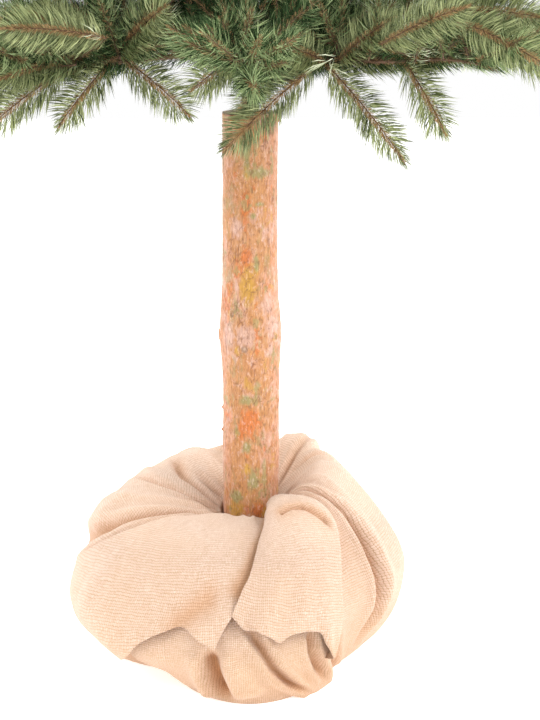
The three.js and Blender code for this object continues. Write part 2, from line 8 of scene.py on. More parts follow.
import bpy
import numpy as np
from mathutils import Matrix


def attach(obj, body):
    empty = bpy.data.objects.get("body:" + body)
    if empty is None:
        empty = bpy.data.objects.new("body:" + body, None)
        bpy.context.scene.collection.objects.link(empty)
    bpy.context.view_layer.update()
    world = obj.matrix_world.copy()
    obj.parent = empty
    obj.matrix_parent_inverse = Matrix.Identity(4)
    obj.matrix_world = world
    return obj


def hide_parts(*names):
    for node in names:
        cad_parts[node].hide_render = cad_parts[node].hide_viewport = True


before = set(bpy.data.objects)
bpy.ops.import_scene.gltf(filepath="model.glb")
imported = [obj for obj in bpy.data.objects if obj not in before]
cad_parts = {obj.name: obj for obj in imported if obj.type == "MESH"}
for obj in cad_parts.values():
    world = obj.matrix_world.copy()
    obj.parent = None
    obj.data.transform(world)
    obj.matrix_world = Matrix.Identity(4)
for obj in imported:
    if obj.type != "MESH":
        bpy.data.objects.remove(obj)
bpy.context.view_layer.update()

# Camera
# It stands at chest height before the tree and looks a little down on it, with a long lens, so that
# the burlap, the log and the lowest tier fill the frame and the crown runs out of it.
CAMERA_PLACE = (0.0, -3.3, 1.35)
CAMERA_TILT = math.radians(76.3)
CAMERA_TURN = math.radians(-0.62)
CAMERA_LENS = 92.4

camera = bpy.data.objects.new("camera", bpy.data.cameras.new("camera"))
camera.data.lens = CAMERA_LENS
camera.location = CAMERA_PLACE
camera.rotation_euler = (CAMERA_TILT, 0, CAMERA_TURN)
bpy.context.scene.collection.objects.link(camera)
bpy.context.scene.camera = camera

# Log
# A length of young pine, 102 mm thick, sawn flat at both ends. Its thin bark is salmon and
# orange and comes off in flakes, with olive and ochre patches, and a ring of branch scars swells it
# at 0.6 m. Its foot is set in the bucket's concrete.
LOG_RADIUS = 0.051
LOG_FOOT = 0.045
LOG_TOP = 1.0
LOG_SHOWS_FROM = 0.225
LOG_AROUND = 256
LOG_ROWS = 350
FOOT_GIRTH = 1.015
LOG_TAPER = 0.03
KNOT_RING_HEIGHT = 0.6
KNOT_RING_SWELL = 0.0055
KNOT_RING_REACH = 0.062
POLE_HOLE = 0.0153
POLE_HOLE_DEPTH = 0.02
PLATES_AROUND = 22
PLATE_HEIGHT = 0.027
PLATE_STEP = 0.0011
FLAKES_AROUND = 50
FLAKE_HEIGHT = 0.012
FLAKE_STEP = 0.0006
CRACK_DEPTH = 0.0009
CHIP_DEPTH = 0.0004
LUMP_HEIGHT = 0.0005
GRAIN_HEIGHT = 0.0002
SCAR_RIM = 0.0022
SCAR_HOLLOW = 0.0014
NUB_SIZE = (0.0024, 0.003)
NUB_HEIGHT = 0.0038
SPLIT_DEPTH = 0.0015
SPLIT_LIP = 0.0016

# Slow waves of the log's radius, which grow in over a short height: the depth, the waves round, and
# the rise of one radian.
LOG_WAVES = ((0.0012, 2, 0.17), (0.0008, 3, -0.095))
WAVES_FROM = 0.3
WAVES_RUN = 0.09

# Marks on the bark: the place (degrees round from +X, height) and the half size (round, up).
LOG_SCARS = (((259, 0.579), (0.0065, 0.0075)), ((322, 0.597), (0.0045, 0.005)), ((92, 0.606), (0.007, 0.008)),
             ((28, 0.588), (0.006, 0.007)), ((176, 0.594), (0.006, 0.007)), ((233, 0.641), (0.004, 0.006)),
             ((135, 0.81), (0.005, 0.006)), ((60, 0.37), (0.005, 0.006)))
LOG_NUBS = ((339, 0.474), (182, 0.457), (180.5, 0.414), (353, 0.986), (48, 0.72), (120, 0.49))
LOG_SPLITS = (((307.5, 0.774), (0.0018, 0.011)), ((222.5, 0.719), (0.002, 0.007)),
              ((238.5, 0.750), (0.0016, 0.014)), ((321.5, 0.847), (0.002, 0.008)),
              ((214, 0.585), (0.0022, 0.022)), ((75, 0.83), (0.002, 0.012)), ((150, 0.68), (0.002, 0.011)))
BARK_PATCHES = {
    "rust": (((268.5, 0.44), (0.018, 0.026)), ((262, 0.841), (0.009, 0.022)), ((284, 0.272), (0.016, 0.011)),
             ((262, 0.745), (0.008, 0.02)), ((250, 0.43), (0.006, 0.02)), ((75, 0.52), (0.015, 0.02)),
             ((150, 0.35), (0.012, 0.02))),
    "ochre": (((236, 0.272), (0.016, 0.015)), ((269, 0.671), (0.010, 0.003)), ((262, 0.893), (0.004, 0.007)),
              ((266, 0.695), (0.014, 0.030)), ((243, 0.575), (0.005, 0.008)), ((322, 0.597), (0.005, 0.006)),
              ((262, 0.35), (0.008, 0.01)), ((30, 0.8), (0.01, 0.02)), ((140, 0.58), (0.01, 0.015))),
    "moss": (((285, 0.898), (0.022, 0.009)), ((262, 0.392), (0.008, 0.011)), ((264, 0.925), (0.005, 0.026)),
             ((264, 0.855), (0.0035, 0.005)), ((275.5, 0.821), (0.0045, 0.005)),
             ((289, 0.842), (0.007, 0.004)), ((238, 0.298), (0.012, 0.012)), ((262, 0.482), (0.014, 0.009)),
             ((276, 0.33), (0.011, 0.02)), ((282, 0.735), (0.004, 0.014)), ((100, 0.66), (0.012, 0.02)),
             ((20, 0.45), (0.012, 0.02))),
    "pale": (((262, 0.60), (0.016, 0.022)), ((318, 0.615), (0.016, 0.022)), ((312, 0.578), (0.004, 0.014)),
             ((222, 0.6), (0.014, 0.03)), ((305, 0.66), (0.012, 0.018)), ((240, 0.8), (0.01, 0.015))),
}


def smooth(share):
    """Rises from 0 to 1 with level ends as the share goes from 0 to 1."""
    held = np.clip(share, 0, 1)
    return held * held * (3 - 2 * held)


def hump(away, width):
    """1 at no distance, and smoothly down towards 0 past the width."""
    return np.exp(-((away / width) ** 2))


def noise(x, y, seed, wrap):
    """Smooth noise from -1 to 1 over a plane, which repeats every wrap units of x."""
    table = np.random.default_rng(seed).uniform(-1, 1, (512, wrap))
    column = np.floor(x).astype(int)
    row = np.floor(y).astype(int)
    s = smooth(x - column)
    t = smooth(y - row)
    low = table[row % 512, column % wrap] * (1 - s) + table[row % 512, (column + 1) % wrap] * s
    high = table[(row + 1) % 512, column % wrap] * (1 - s) + table[(row + 1) % 512, (column + 1) % wrap] * s
    return low * (1 - t) + high * t


def plates(x, y, seed, wrap):
    """Which plate of bark a place is on, as a number from 0 to 1, and how far inside its edge."""
    random = np.random.default_rng(seed)
    spot = random.uniform(0.1, 0.9, (512, wrap, 2))
    number = random.random((512, wrap))
    nearest = np.full(x.shape, 9.0)
    second = np.full(x.shape, 9.0)
    own = np.zeros(x.shape)
    for down in (-1, 0, 1):
        for aside in (-1, 0, 1):
            column = np.floor(x).astype(int) + aside
            row = np.floor(y).astype(int) + down
            middle = spot[row % 512, column % wrap]
            away = np.hypot(column + middle[..., 0] - x, row + middle[..., 1] - y)
            closer = away < nearest
            second = np.where(closer, nearest, np.minimum(second, away))
            own = np.where(closer, number[row % 512, column % wrap], own)
            nearest = np.minimum(nearest, away)
    return own, second - nearest


def add_object(name, mesh):
    """Puts a mesh in the scene as an object at the origin."""
    piece = bpy.data.objects.new(name, mesh)
    bpy.context.scene.collection.objects.link(piece)
    return piece


def grid_mesh(name, places, joined=False, fans=(None, None)):
    """A smooth mesh over rows of places. Joined rows close on themselves, and a fan closes an end."""
    rows, columns = places.shape[:2]
    corners = list(places.reshape(-1, 3))
    index = np.arange(rows * columns).reshape(rows, columns)
    if joined:
        index = np.hstack([index, index[:, :1]])
    quads = np.stack([index[:-1, :-1], index[:-1, 1:], index[1:, 1:], index[1:, :-1]], -1).reshape(-1, 4)
    faces = [tuple(quad) for quad in quads]
    for row, middle, turned in ((0, fans[0], True), (rows - 1, fans[1], False)):
        if middle is None:
            continue
        centre = len(corners)
        corners.append(np.array(middle))
        for a, b in zip(index[row, :-1], index[row, 1:]):
            faces.append((centre, b, a) if turned else (centre, a, b))
    mesh = bpy.data.meshes.new(name)
    mesh.from_pydata(corners, [], faces)
    mesh.polygons.foreach_set("use_smooth", [True] * len(faces))
    mesh.update()
    return mesh


def give(mesh, label, values):
    """Stores one number for each corner of a mesh; corners past the end of the values get 0."""
    spread = np.zeros(len(mesh.vertices))
    spread[: values.size] = values.ravel()
    mesh.attributes.new(label, "FLOAT", "POINT").data.foreach_set("value", spread)


log_heights = np.concatenate([np.linspace(LOG_FOOT, LOG_SHOWS_FROM, 8)[:-1],
                              np.linspace(LOG_SHOWS_FROM, LOG_TOP - 0.002, LOG_ROWS)])
log_angles = np.linspace(0, 2 * math.pi, LOG_AROUND, endpoint=False)
up_log, round_log = np.meshgrid(log_heights, log_angles, indexing="ij")
log_turn = round_log / (2 * math.pi)


def bark_noise(around, rise, seed):
    """Noise on the log's mesh, with so many cells round it, each as high as the rise."""
    return noise(log_turn * around, up_log / rise, seed, around)


def from_mark(place, size):
    """How far each place of the log's mesh lies from a mark, in half sizes of the mark."""
    aside = (round_log - math.radians(place[0]) + math.pi) % (2 * math.pi) - math.pi
    return np.hypot(aside * LOG_RADIUS / size[0], (up_log - place[1]) / size[1])


taper = FOOT_GIRTH - LOG_TAPER * (up_log - LOG_FOOT) / (LOG_TOP - LOG_FOOT)
knot_ring = KNOT_RING_SWELL * hump(up_log - KNOT_RING_HEIGHT, KNOT_RING_REACH)
uneven = sum(depth * np.sin(waves * round_log + up_log / rise) for depth, waves, rise in LOG_WAVES)
plain_radius = LOG_RADIUS * taper + knot_ring + uneven * smooth((up_log - WAVES_FROM) / WAVES_RUN)

flaky = smooth(0.55 + 0.9 * bark_noise(7, 0.07, 11))
shift = 0.4 * bark_noise(40, 0.02, 12)
plate, plate_edge = plates(log_turn * PLATES_AROUND + shift, up_log / PLATE_HEIGHT + shift, 13, PLATES_AROUND)
flake, flake_edge = plates(log_turn * FLAKES_AROUND + 1.2 * shift, up_log / FLAKE_HEIGHT - shift, 14,
                           FLAKES_AROUND)
crack = hump(plate_edge, 0.06) * flaky * smooth(1.3 * bark_noise(30, 0.03, 15) + 0.5)
chip = hump(flake_edge, 0.1) * smooth(1.5 * bark_noise(24, 0.025, 16))
relief = PLATE_STEP * flaky * (plate - 0.5) + FLAKE_STEP * (flake - 0.5)
relief -= CRACK_DEPTH * crack + CHIP_DEPTH * chip
relief += LUMP_HEIGHT * bark_noise(28, 0.03, 17) + GRAIN_HEIGHT * bark_noise(120, 0.011, 18)
scar = np.zeros(up_log.shape)
for place, size in LOG_SCARS:
    away = from_mark(place, size)
    relief += SCAR_RIM * hump(away - 1.1, 0.45) - SCAR_HOLLOW * hump(away, 0.55)
    scar = np.maximum(scar, hump(away, 0.75))
for place in LOG_NUBS:
    relief += NUB_HEIGHT * hump(from_mark(place, NUB_SIZE), 1)
for place, size in LOG_SPLITS:
    away = from_mark(place, size)
    beside = from_mark((place[0] + 4, place[1]), (1.6 * size[0], size[1]))
    relief += SPLIT_LIP * hump(beside, 1) - SPLIT_DEPTH * hump(away, 1)
    crack = np.maximum(crack, 0.95 * hump(away, 0.9))


def log_places(radius, height):
    """Rows of places round the log's axis, with their radius and their height."""
    radius, height = np.broadcast_arrays(radius, height)
    turns = np.broadcast_to(log_angles, radius.shape)
    return np.stack([radius * np.cos(turns), radius * np.sin(turns), height], -1)


# The last rows are the sawn top, from its rim to the bottom of the pole's hole.
TOP_RINGS = np.array(((0.0495, LOG_TOP), (0.034, LOG_TOP - 0.0003), (POLE_HOLE, LOG_TOP),
                      (POLE_HOLE, LOG_TOP - POLE_HOLE_DEPTH)))
top_radius, top_height = (np.repeat(column[:, None], LOG_AROUND, axis=1) for column in TOP_RINGS.T)
bark_places = np.concatenate([log_places(plain_radius + relief, up_log), log_places(top_radius, top_height)])
log_mesh = grid_mesh("bark_log", bark_places, joined=True,
                     fans=((0, 0, LOG_FOOT), (0, 0, LOG_TOP - POLE_HOLE_DEPTH)))
give(log_mesh, "crack", crack)
give(log_mesh, "scar", scar)
give(log_mesh, "plate", 0.6 * plate + 0.4 * flake)
for seed, (label, marks) in enumerate(BARK_PATCHES.items(), 21):
    torn = 0.6 * bark_noise(60, 0.008, seed) + 0.5 * bark_noise(110, 0.005, seed + 9)
    amount = np.zeros(up_log.shape)
    for place, size in marks:
        amount = np.maximum(amount, smooth(1.5 - from_mark(place, size) + 0.5 * torn))
    stray = smooth(4 * (bark_noise(18, 0.03, seed + 20) + 0.35 * torn) - 2.6)
    give(log_mesh, label, np.maximum(amount, 0.75 * stray))
# Painted rim light: the front and the back of the log take an amber tint in patches, so that its sides, as
# the camera sees them, stay paler as if lit from the sides.
painted_rim_light_facing = np.cos(2 * (round_log - math.radians(258)))
give(log_mesh, "amber", smooth(0.45 + 0.8 * painted_rim_light_facing + 0.9 * bark_noise(12, 0.05, 51)))
end_grain = np.zeros(bark_places.shape[:2])
end_grain[-len(TOP_RINGS):] = 1
give(log_mesh, "sawn", end_grain)


class Value:
    """One output of a node. Arithmetic on it adds Math nodes to the same tree."""

    def __init__(self, nodes, node, socket):
        self.nodes = nodes
        self.node = node
        self.socket = socket

    def other(self, name):
        """Another output of the same node."""
        return Value(self.nodes, self.node, self.node.outputs[name])

    def maths(self, operation, first, second=0.0):
        return self.nodes.add("ShaderNodeMath", {"operation": operation}, {0: first, 1: second})

    def __add__(self, more):
        return self.maths("ADD", self, more)

    __radd__ = __add__

    def __sub__(self, less):
        return self.maths("SUBTRACT", self, less)

    def __rsub__(self, whole):
        return self.maths("SUBTRACT", whole, self)

    def __mul__(self, times):
        return self.maths("MULTIPLY", self, times)

    __rmul__ = __mul__

    def __truediv__(self, parts):
        return self.maths("DIVIDE", self, parts)

    def sine(self):
        return self.maths("SINE", self)

    def size(self):
        return self.maths("ABSOLUTE", self)

    def eased(self, start, end, low=0.0, high=1.0):
        """Goes smoothly from low to high as the value goes from start to end."""
        ends = {"Value": self, "From Min": start, "From Max": end, "To Min": low, "To Max": high}
        return self.nodes.add("ShaderNodeMapRange", {"interpolation_type": "SMOOTHSTEP"}, ends)


class Nodes:
    """A tree of nodes, for a finish or for a shape, that grows one node at a time."""

    def __init__(self, tree):
        self.tree = tree

    def add(self, kind, settings=None, inputs=None, out=None):
        """Adds a node: its settings first, then the values or links of its sockets."""
        node = self.tree.nodes.new(kind)
        for name, value in (settings or {}).items():
            if name == "stops":
                ramp = node.color_ramp
                while len(ramp.elements) < len(value):
                    ramp.elements.new(0.5)
                for stop, (position, colour) in zip(ramp.elements, value):
                    stop.position = position
                    stop.color = (*colour, 1)
            else:
                setattr(node, name, value)
        for name, value in (inputs or {}).items():
            self.feed(self.socket(node.inputs, name), value)
        return Value(self, node, self.socket(node.outputs, out))

    def socket(self, sockets, name):
        """The socket that is in use under a name or number, or the first one in use."""
        if isinstance(name, int):
            return sockets[name]
        return next((s for s in sockets if s.enabled and name in (None, s.name)), None)

    def feed(self, socket, value):
        """Links a value, or each of a list of values, to a socket, or sets its number or colour."""
        if isinstance(value, list):
            for each in value:
                self.feed(socket, each)
        elif isinstance(value, Value):
            self.tree.links.new(value.socket, socket)
        elif socket.type == "RGBA" and len(value) == 3:
            socket.default_value = (*value, 1)
        else:
            socket.default_value = value


class Finish(Nodes):
    """A material. Its shader is a Principled one, fed by wear()."""

    def __init__(self, name):
        self.material = bpy.data.materials.new(name)
        self.material.use_nodes = True
        super().__init__(self.material.node_tree)
        self.shader = self.tree.nodes["Principled BSDF"]

    def wear(self, **sockets):
        """Sets or links the shader's sockets; an underscore in a name stands for a space."""
        for name, value in sockets.items():
            self.feed(self.shader.inputs[name.replace("_", " ")], value)
        return self.material

    def places(self, stretch=(1, 1, 1)):
        """Object coordinates, stretched along each axis."""
        where = self.add("ShaderNodeTexCoord", out="Object")
        return self.add("ShaderNodeMapping", {}, {"Vector": where, "Scale": stretch})

    def cloud(self, where, scale, detail=2.0, roughness=0.55, twist=0.0):
        """Noise from 0 to 1 at so many cells a metre."""
        inputs = {"Vector": where, "Scale": scale, "Detail": detail, "Roughness": roughness,
                  "Distortion": twist}
        return self.add("ShaderNodeTexNoise", {}, inputs, out="Fac")

    def stored(self, label):
        """A number stored on the mesh's corners."""
        return self.add("ShaderNodeAttribute", {"attribute_name": label}, {}, out="Fac")

    def blend(self, share, first, second, mode="MIX"):
        """A mix of two colours."""
        settings = {"data_type": "RGBA", "blend_type": mode}
        return self.add("ShaderNodeMix", settings, {"Factor": share, "A": first, "B": second})

    def ramp(self, share, stops):
        """A colour picked along a run of (position, colour) stops."""
        return self.add("ShaderNodeValToRGB", {"stops": stops}, {"Fac": share}, out="Color")

    def bumps(self, lift, distance, strength=1.0):
        """A normal bent by a height of 0 to 1 that stands for so many metres."""
        return self.add("ShaderNodeBump", {}, {"Height": lift, "Distance": distance, "Strength": strength})


def bark_finish():
    """Thin flaking pine bark, and the pale sawn end."""
    bark = Finish("pine_bark")
    patches = bark.cloud(bark.places((1, 1, 0.6)), 100, 4, 0.65, 0.4)
    zones = bark.cloud(bark.places((1, 1, 0.5)), 17, 2)
    grain = bark.cloud(bark.places((1, 1, 0.16)), 420, 3, 0.6)
    specks = bark.cloud(bark.places((1, 1, 0.5)), 210, 3, 0.65, 0.5)
    crust = bark.cloud(bark.places((1, 1, 0.6)), 52, 5, 0.68, 0.7)
    lichen = bark.cloud(bark.places((1, 1, 0.4)), 41, 5, 0.70, 0.6)
    scar = bark.stored("scar")
    hue = patches * 0.6 + zones * 0.3 + bark.stored("plate") * 0.12 - 0.01
    colour = bark.ramp(hue, [(0.34, (0.37, 0.23, 0.095)), (0.42, (0.54, 0.215, 0.075)),
                             (0.50, (0.60, 0.275, 0.125)), (0.58, (0.64, 0.325, 0.185)),
                             (0.70, (0.71, 0.44, 0.31))])
    # The first layer is the amber of the log's front and back, which leaves its sides paler: painted rim
    # light.
    for share, layer in ((bark.stored("amber") * 0.52, (0.55, 0.255, 0.065)),
                         (crust.eased(0.54, 0.63) * 0.38, (0.74, 0.46, 0.36)),
                         (lichen.eased(0.55, 0.64) * 0.55, (0.36, 0.27, 0.10)),
                         (bark.stored("pale") * 0.5, (0.73, 0.50, 0.42)),
                         (bark.stored("rust") * 0.75, (0.68, 0.17, 0.025)),
                         (bark.stored("ochre") * 0.72, (0.60, 0.33, 0.035)),
                         (bark.stored("moss") * 0.78, (0.31, 0.30, 0.105)),
                         (specks.eased(0.56, 0.66) * 0.62, (0.27, 0.135, 0.06)),
                         (specks.eased(0.43, 0.33) * 0.35, (0.84, 0.62, 0.48)),
                         (scar.eased(0.10, 0.40) * 0.5, (0.27, 0.18, 0.11)),
                         (scar.eased(0.60, 0.90) * 0.55, (0.66, 0.48, 0.33)),
                         (bark.stored("crack") * 0.7, (0.24, 0.095, 0.045))):
        colour = bark.blend(share, colour, layer)
    streaks = bark.ramp(grain, [(0.33, (0.79, 0.74, 0.73)), (0.67, (1.08, 1.10, 1.08))])
    rings = bark.cloud(bark.places(), 130, 2)
    wood = bark.ramp(rings, [(0.3, (0.74, 0.56, 0.34)), (0.7, (0.88, 0.72, 0.48))])
    colour = bark.blend(bark.stored("sawn"), bark.blend(1.0, colour, streaks, "MULTIPLY"), wood)
    colour = bark.blend(1.0, colour, (0.87, 0.88, 0.96), "MULTIPLY")
    normal = bark.bumps(grain * 0.35 + specks * 0.5 + patches * 0.6, 0.0012, 0.7)
    return bark.wear(Base_Color=colour, Roughness=specks.eased(0.3, 0.7, 0.55, 0.82), Normal=normal,
                     Sheen_Weight=0.35, Sheen_Roughness=0.35, Sheen_Tint=(1.0, 0.82, 0.78))


log = add_object("bark_log", log_mesh)
log_mesh.materials.append(bark_finish())
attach(log, "root")
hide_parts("log")

# Bucket and concrete
# A grey plastic pail, filled with concrete that was poured round the log's foot and left rough. The
# burlap hides nearly all of both, so the solids stay and get their own finishes.


def dress(node, material):
    """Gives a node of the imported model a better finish."""
    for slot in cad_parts[node].material_slots:
        slot.material = material


pail = Finish("moulded_plastic")
pail_marks = pail.cloud(pail.places((1, 1, 0.2)), 160, 2)
pail_tone = pail.ramp(pail_marks, [(0.3, (0.035, 0.038, 0.042)), (0.7, (0.055, 0.058, 0.063))])
pail.wear(Base_Color=pail_tone, Roughness=pail_marks.eased(0.3, 0.7, 0.42, 0.6),
          Normal=pail.bumps(pail_marks, 0.0004, 0.5))
dress("bucket", pail.material)

concrete = Finish("poured_concrete")
concrete_pits = concrete.cloud(concrete.places(), 90, 5, 0.7)
concrete_tone = concrete.ramp(concrete_pits, [(0.3, (0.26, 0.25, 0.22)), (0.7, (0.42, 0.40, 0.36))])
concrete.wear(Base_Color=concrete_tone, Roughness=0.92, Normal=concrete.bumps(concrete_pits, 0.003, 0.8))
dress("bucket_filling", concrete.material)

# Burlap
# A cloth of coarse undyed burlap with raw edges. It is drawn up round the bucket, gathered at the
# log and turned outwards: a broad flap lies over the front left, a second one with a torn hem over
# the front right, and the rest rolls over at the sides and the back.
WRAP_LIP_RADIUS = 0.058
WRAP_AROUND = 372
WRAP_DOWN = 124
CLOTH_AROUND = 0.30
CLOTH_DOWN = 0.49
CLOTH_THICK = 0.0016
CLOTH_SCALE = np.array((math.radians(1) * CLOTH_AROUND, CLOTH_DOWN))
CLOTH_LUMP = 0.004
CLOTH_RIPPLE = 0.0018
PLEAT_HEIGHT = 0.006
WIDEST_SHADED_FOLD = 0.03
YARN_PITCH = 0.0034
YARN_WANDER = 0.007
SLUB_LONG = 55
SLUB_SHORT = 300

# The lip is turned in at the log: each ring's radius and its depth below the lip, from the inside.
# The foot is turned in too, to a share of its radius.
LIP_RINGS = ((0.0525, 0.045), (0.0530, 0.022), (0.0545, 0.008))
FOOT_TURNED_IN = 0.9

# Every 45 degrees from +X: the ridge round the log, the shoulder, the fullest place (radius, height
# each), and the foot's radius, in millimetres.
WRAP_STATIONS = np.array([
    (126, 330, 214, 272, 286, 148, 206), (160, 338, 238, 280, 292, 148, 222),
    (185, 338, 262, 284, 302, 145, 232), (190, 318, 272, 268, 314, 145, 240),
    (172, 292, 272, 262, 326, 130, 258), (120, 266, 228, 232, 318, 122, 220),
    (98, 256, 206, 222, 302, 118, 302), (110, 292, 182, 262, 248, 140, 206)]) * 0.001


def between(before, start, end, after, share):
    """A smooth curve through four even stations, at a share of the way between the middle two."""
    square = share ** 2
    cube = share ** 3
    leaving = (cube - 2 * square + share) * (end - before) / 2
    arriving = (cube - square) * (after - start) / 2
    return (2 * cube - 3 * square + 1) * start + leaving + (3 * square - 2 * cube) * end + arriving


def wrap_place(angle, share):
    """A place on the plain wrap: degrees round the log from +X, and a share from log to floor."""
    count = len(WRAP_STATIONS)
    at = (angle / 360 * count) % count
    first = np.floor(at).astype(int)
    part = (at - first)[..., None]
    s = between(*[WRAP_STATIONS[(first + step) % count] for step in (-1, 0, 1, 2)], part)
    zero = np.zeros_like(s[..., 0])
    lip = np.stack([zero + WRAP_LIP_RADIUS, 0.25 + 0.3 * (s[..., 1] - 0.256)], -1)
    low = np.stack([0.5 * (s[..., 4] + s[..., 6]) + 0.01, zero + 0.042], -1)
    run = np.stack([lip, s[..., 0:2], s[..., 2:4], s[..., 4:6], low, np.stack([s[..., 6], zero], -1)], -2)
    held = np.clip(share, 0, 1) * 5
    leg = np.clip(np.floor(held).astype(int), 0, 4)
    near = np.clip(np.stack([leg - 1, leg, leg + 1, leg + 2], -1), 0, 5)
    points = np.take_along_axis(run, near[..., None], axis=-2)
    place = between(*[points[..., k, :] for k in range(4)], (held - leg)[..., None])
    turn = np.radians(angle)
    return np.stack([place[..., 0] * np.cos(turn), place[..., 0] * np.sin(turn), place[..., 1]], -1)


def unit(vectors):
    """The vectors at length 1."""
    return vectors / np.maximum(np.linalg.norm(vectors, axis=-1, keepdims=True), 1e-9)


def wrap_raised(angle, share, lift):
    """The place raised along the outward normal."""
    aside = wrap_place(angle + 0.5, share) - wrap_place(angle - 0.5, share)
    down = wrap_place(angle, share + 0.01) - wrap_place(angle, share - 0.01)
    out = unit(np.cross(down, aside))
    return wrap_place(angle, share) + out * lift[..., None]


def cloth_noise(angle, share, seed, width):
    """Noise over the cloth with features of about the given width in metres."""
    wrap = max(2, round(2 * math.pi * CLOTH_AROUND / width))
    return noise(angle / 360 * wrap, share * CLOTH_DOWN / width + 40, seed, wrap)


def from_line(angle, share, line):
    """Distance in metres from a line of (degrees, share) places, and how far along it from 0 to 1."""
    x = angle * CLOTH_SCALE[0]
    y = share * CLOTH_SCALE[1]
    points = np.array(line, float) * CLOTH_SCALE
    lengths = np.linalg.norm(np.diff(points, axis=0), axis=1)
    best = np.full(x.shape, 9.0)
    along = np.zeros(x.shape)
    travelled = 0.0
    for start, end, length in zip(points[:-1], points[1:], lengths):
        way = (end - start) / length
        reach = np.clip((x - start[0]) * way[0] + (y - start[1]) * way[1], 0, length)
        away = np.hypot(x - start[0] - reach * way[0], y - start[1] - reach * way[1])
        along = np.where(away < best, (travelled + reach) / lengths.sum(), along)
        best = np.minimum(best, away)
        travelled += length
    return best, along


# Folds of the body: the line of (degrees, share) places, the width and the height in metres. A
# crease has a height below 0, and the lines run round and down over the cloth.
FOLDS = (
    (((330, 0.04), (333, 0.13), (334, 0.25), (335, 0.36), (335.5, 0.47), (334, 0.58), (331, 0.67),
      (324, 0.78)), 0.011, -0.024),
    (((352, 0.12), (350, 0.22), (344, 0.33), (343, 0.45), (341, 0.56), (336, 0.70)), 0.022, 0.013),
    (((376, 0.14), (372, 0.30), (368, 0.48), (362, 0.66)), 0.03, 0.006),
    (((222, 0.12), (209, 0.19), (203, 0.28), (196, 0.40), (186, 0.475), (170, 0.54)), 0.011, -0.016),
    (((206, 0.05), (196, 0.14), (188, 0.26), (178, 0.38)), 0.013, 0.008),
    (((188, 0.04), (180, 0.12), (168, 0.22), (156, 0.32)), 0.010, -0.012),
    (((172, 0.03), (158, 0.10), (146, 0.16), (134, 0.22)), 0.012, -0.012),
    (((180, 0.03), (168, 0.12), (154, 0.24), (146, 0.36)), 0.014, 0.008),
    (((257, 0.62), (258, 0.74), (260, 0.86), (262, 0.95)), 0.014, -0.032),
    (((268, 0.54), (273.5, 0.63), (277, 0.72), (284, 0.85), (290, 0.93)), 0.008, -0.018),
    (((264, 0.66), (268, 0.78), (272, 0.92)), 0.016, 0.012),
    (((292, 0.60), (292.5, 0.70), (297, 0.81), (300, 0.90)), 0.010, -0.014),
    (((304, 0.66), (307, 0.80), (309, 0.92)), 0.012, -0.012),
    (((226, 0.68), (240, 0.80), (252, 0.92)), 0.014, 0.008),
    (((198, 0.76), (212, 0.80), (226, 0.86), (240, 0.91)), 0.050, -0.036),
    (((172, 0.44), (182, 0.40), (190, 0.36)), 0.045, 0.013),
    (((116, 0.14), (104, 0.24)), 0.045, -0.018),
    (((70, 0.15), (48, 0.29)), 0.055, 0.022),
    (((282, 0.95), (296, 0.94), (309, 0.92)), 0.040, 0.022),
    (((40, 0.10), (34, 0.26), (30, 0.44), (32, 0.62)), 0.013, -0.013),
    (((50, 0.06), (52, 0.20), (58, 0.34)), 0.012, -0.005),
    (((98, 0.05), (96, 0.24), (92, 0.46), (96, 0.70)), 0.014, -0.014),
    (((122, 0.30), (118, 0.48), (112, 0.66), (112, 0.82)), 0.015, -0.010),
    (((150, 0.50), (144, 0.66), (140, 0.84)), 0.015, -0.010),
    (((20, 0.62), (12, 0.76), (8, 0.90)), 0.012, -0.010),
    (((60, 0.60), (66, 0.76), (68, 0.90)), 0.014, -0.011),
    (((180, 0.66), (172, 0.80), (168, 0.92)), 0.014, -0.009),
)


def body_lift(angle, share, widest=1.0):
    """How far the body of the cloth stands off its plain shape, with no fold wider than the widest."""
    lift = CLOTH_LUMP * cloth_noise(angle, share, 31, 0.11)
    lift += CLOTH_RIPPLE * cloth_noise(angle, share, 32, 0.045)
    lift *= smooth(share / 0.12)
    crease = np.sin(np.radians(9 * angle + 40)) + 0.7 * np.sin(np.radians(14 * angle + 110))
    pleats = 0.5 - np.abs(crease + 0.4 * cloth_noise(angle, share, 33, 0.06))
    lift += PLEAT_HEIGHT * pleats * hump(share, 0.16) * smooth(share / 0.04)
    for line, width, depth in FOLDS:
        if width > widest:
            continue
        away, along = from_line(angle, share, line)
        for full_turn in (-360, 360):
            far, far_along = from_line(angle + full_turn, share, line)
            along = np.where(far < away, far_along, along)
            away = np.minimum(away, far)
        ends = smooth(along / 0.2) * smooth((1 - along) / 0.25) * 0.85 + 0.15
        shape = hump(away, width)
        if depth < 0:
            shape -= 0.45 * hump(away - 1.9 * width, width)
        lift += depth * ends * shape
    return lift * smooth((1 - share) / 0.06)


# The columns of the mesh start at the back and lie closer together at the front.
part_round = np.arange(WRAP_AROUND) / WRAP_AROUND
share_rows, angle_columns = np.meshgrid(np.linspace(0, 1, WRAP_DOWN),
                                        90 + 360 * part_round - 17 * np.sin(2 * np.pi * (part_round - 0.5)),
                                        indexing="ij")
body_rows = wrap_raised(angle_columns, share_rows, body_lift(angle_columns, share_rows))
body_rows[..., 2] = np.maximum(body_rows[..., 2], 0.0)
body_rows[-1, :, 2] = 0.0
tuck = []
for ring_radius, drop in LIP_RINGS:
    ring = body_rows[0].copy()
    ring[:, :2] *= (ring_radius / np.linalg.norm(ring[:, :2], axis=1))[:, None]
    ring[:, 2] -= drop
    tuck.append(ring[None])
under = body_rows[-1:].copy()
under[..., :2] *= FOOT_TURNED_IN
body_places = np.concatenate([*tuck, body_rows, under])


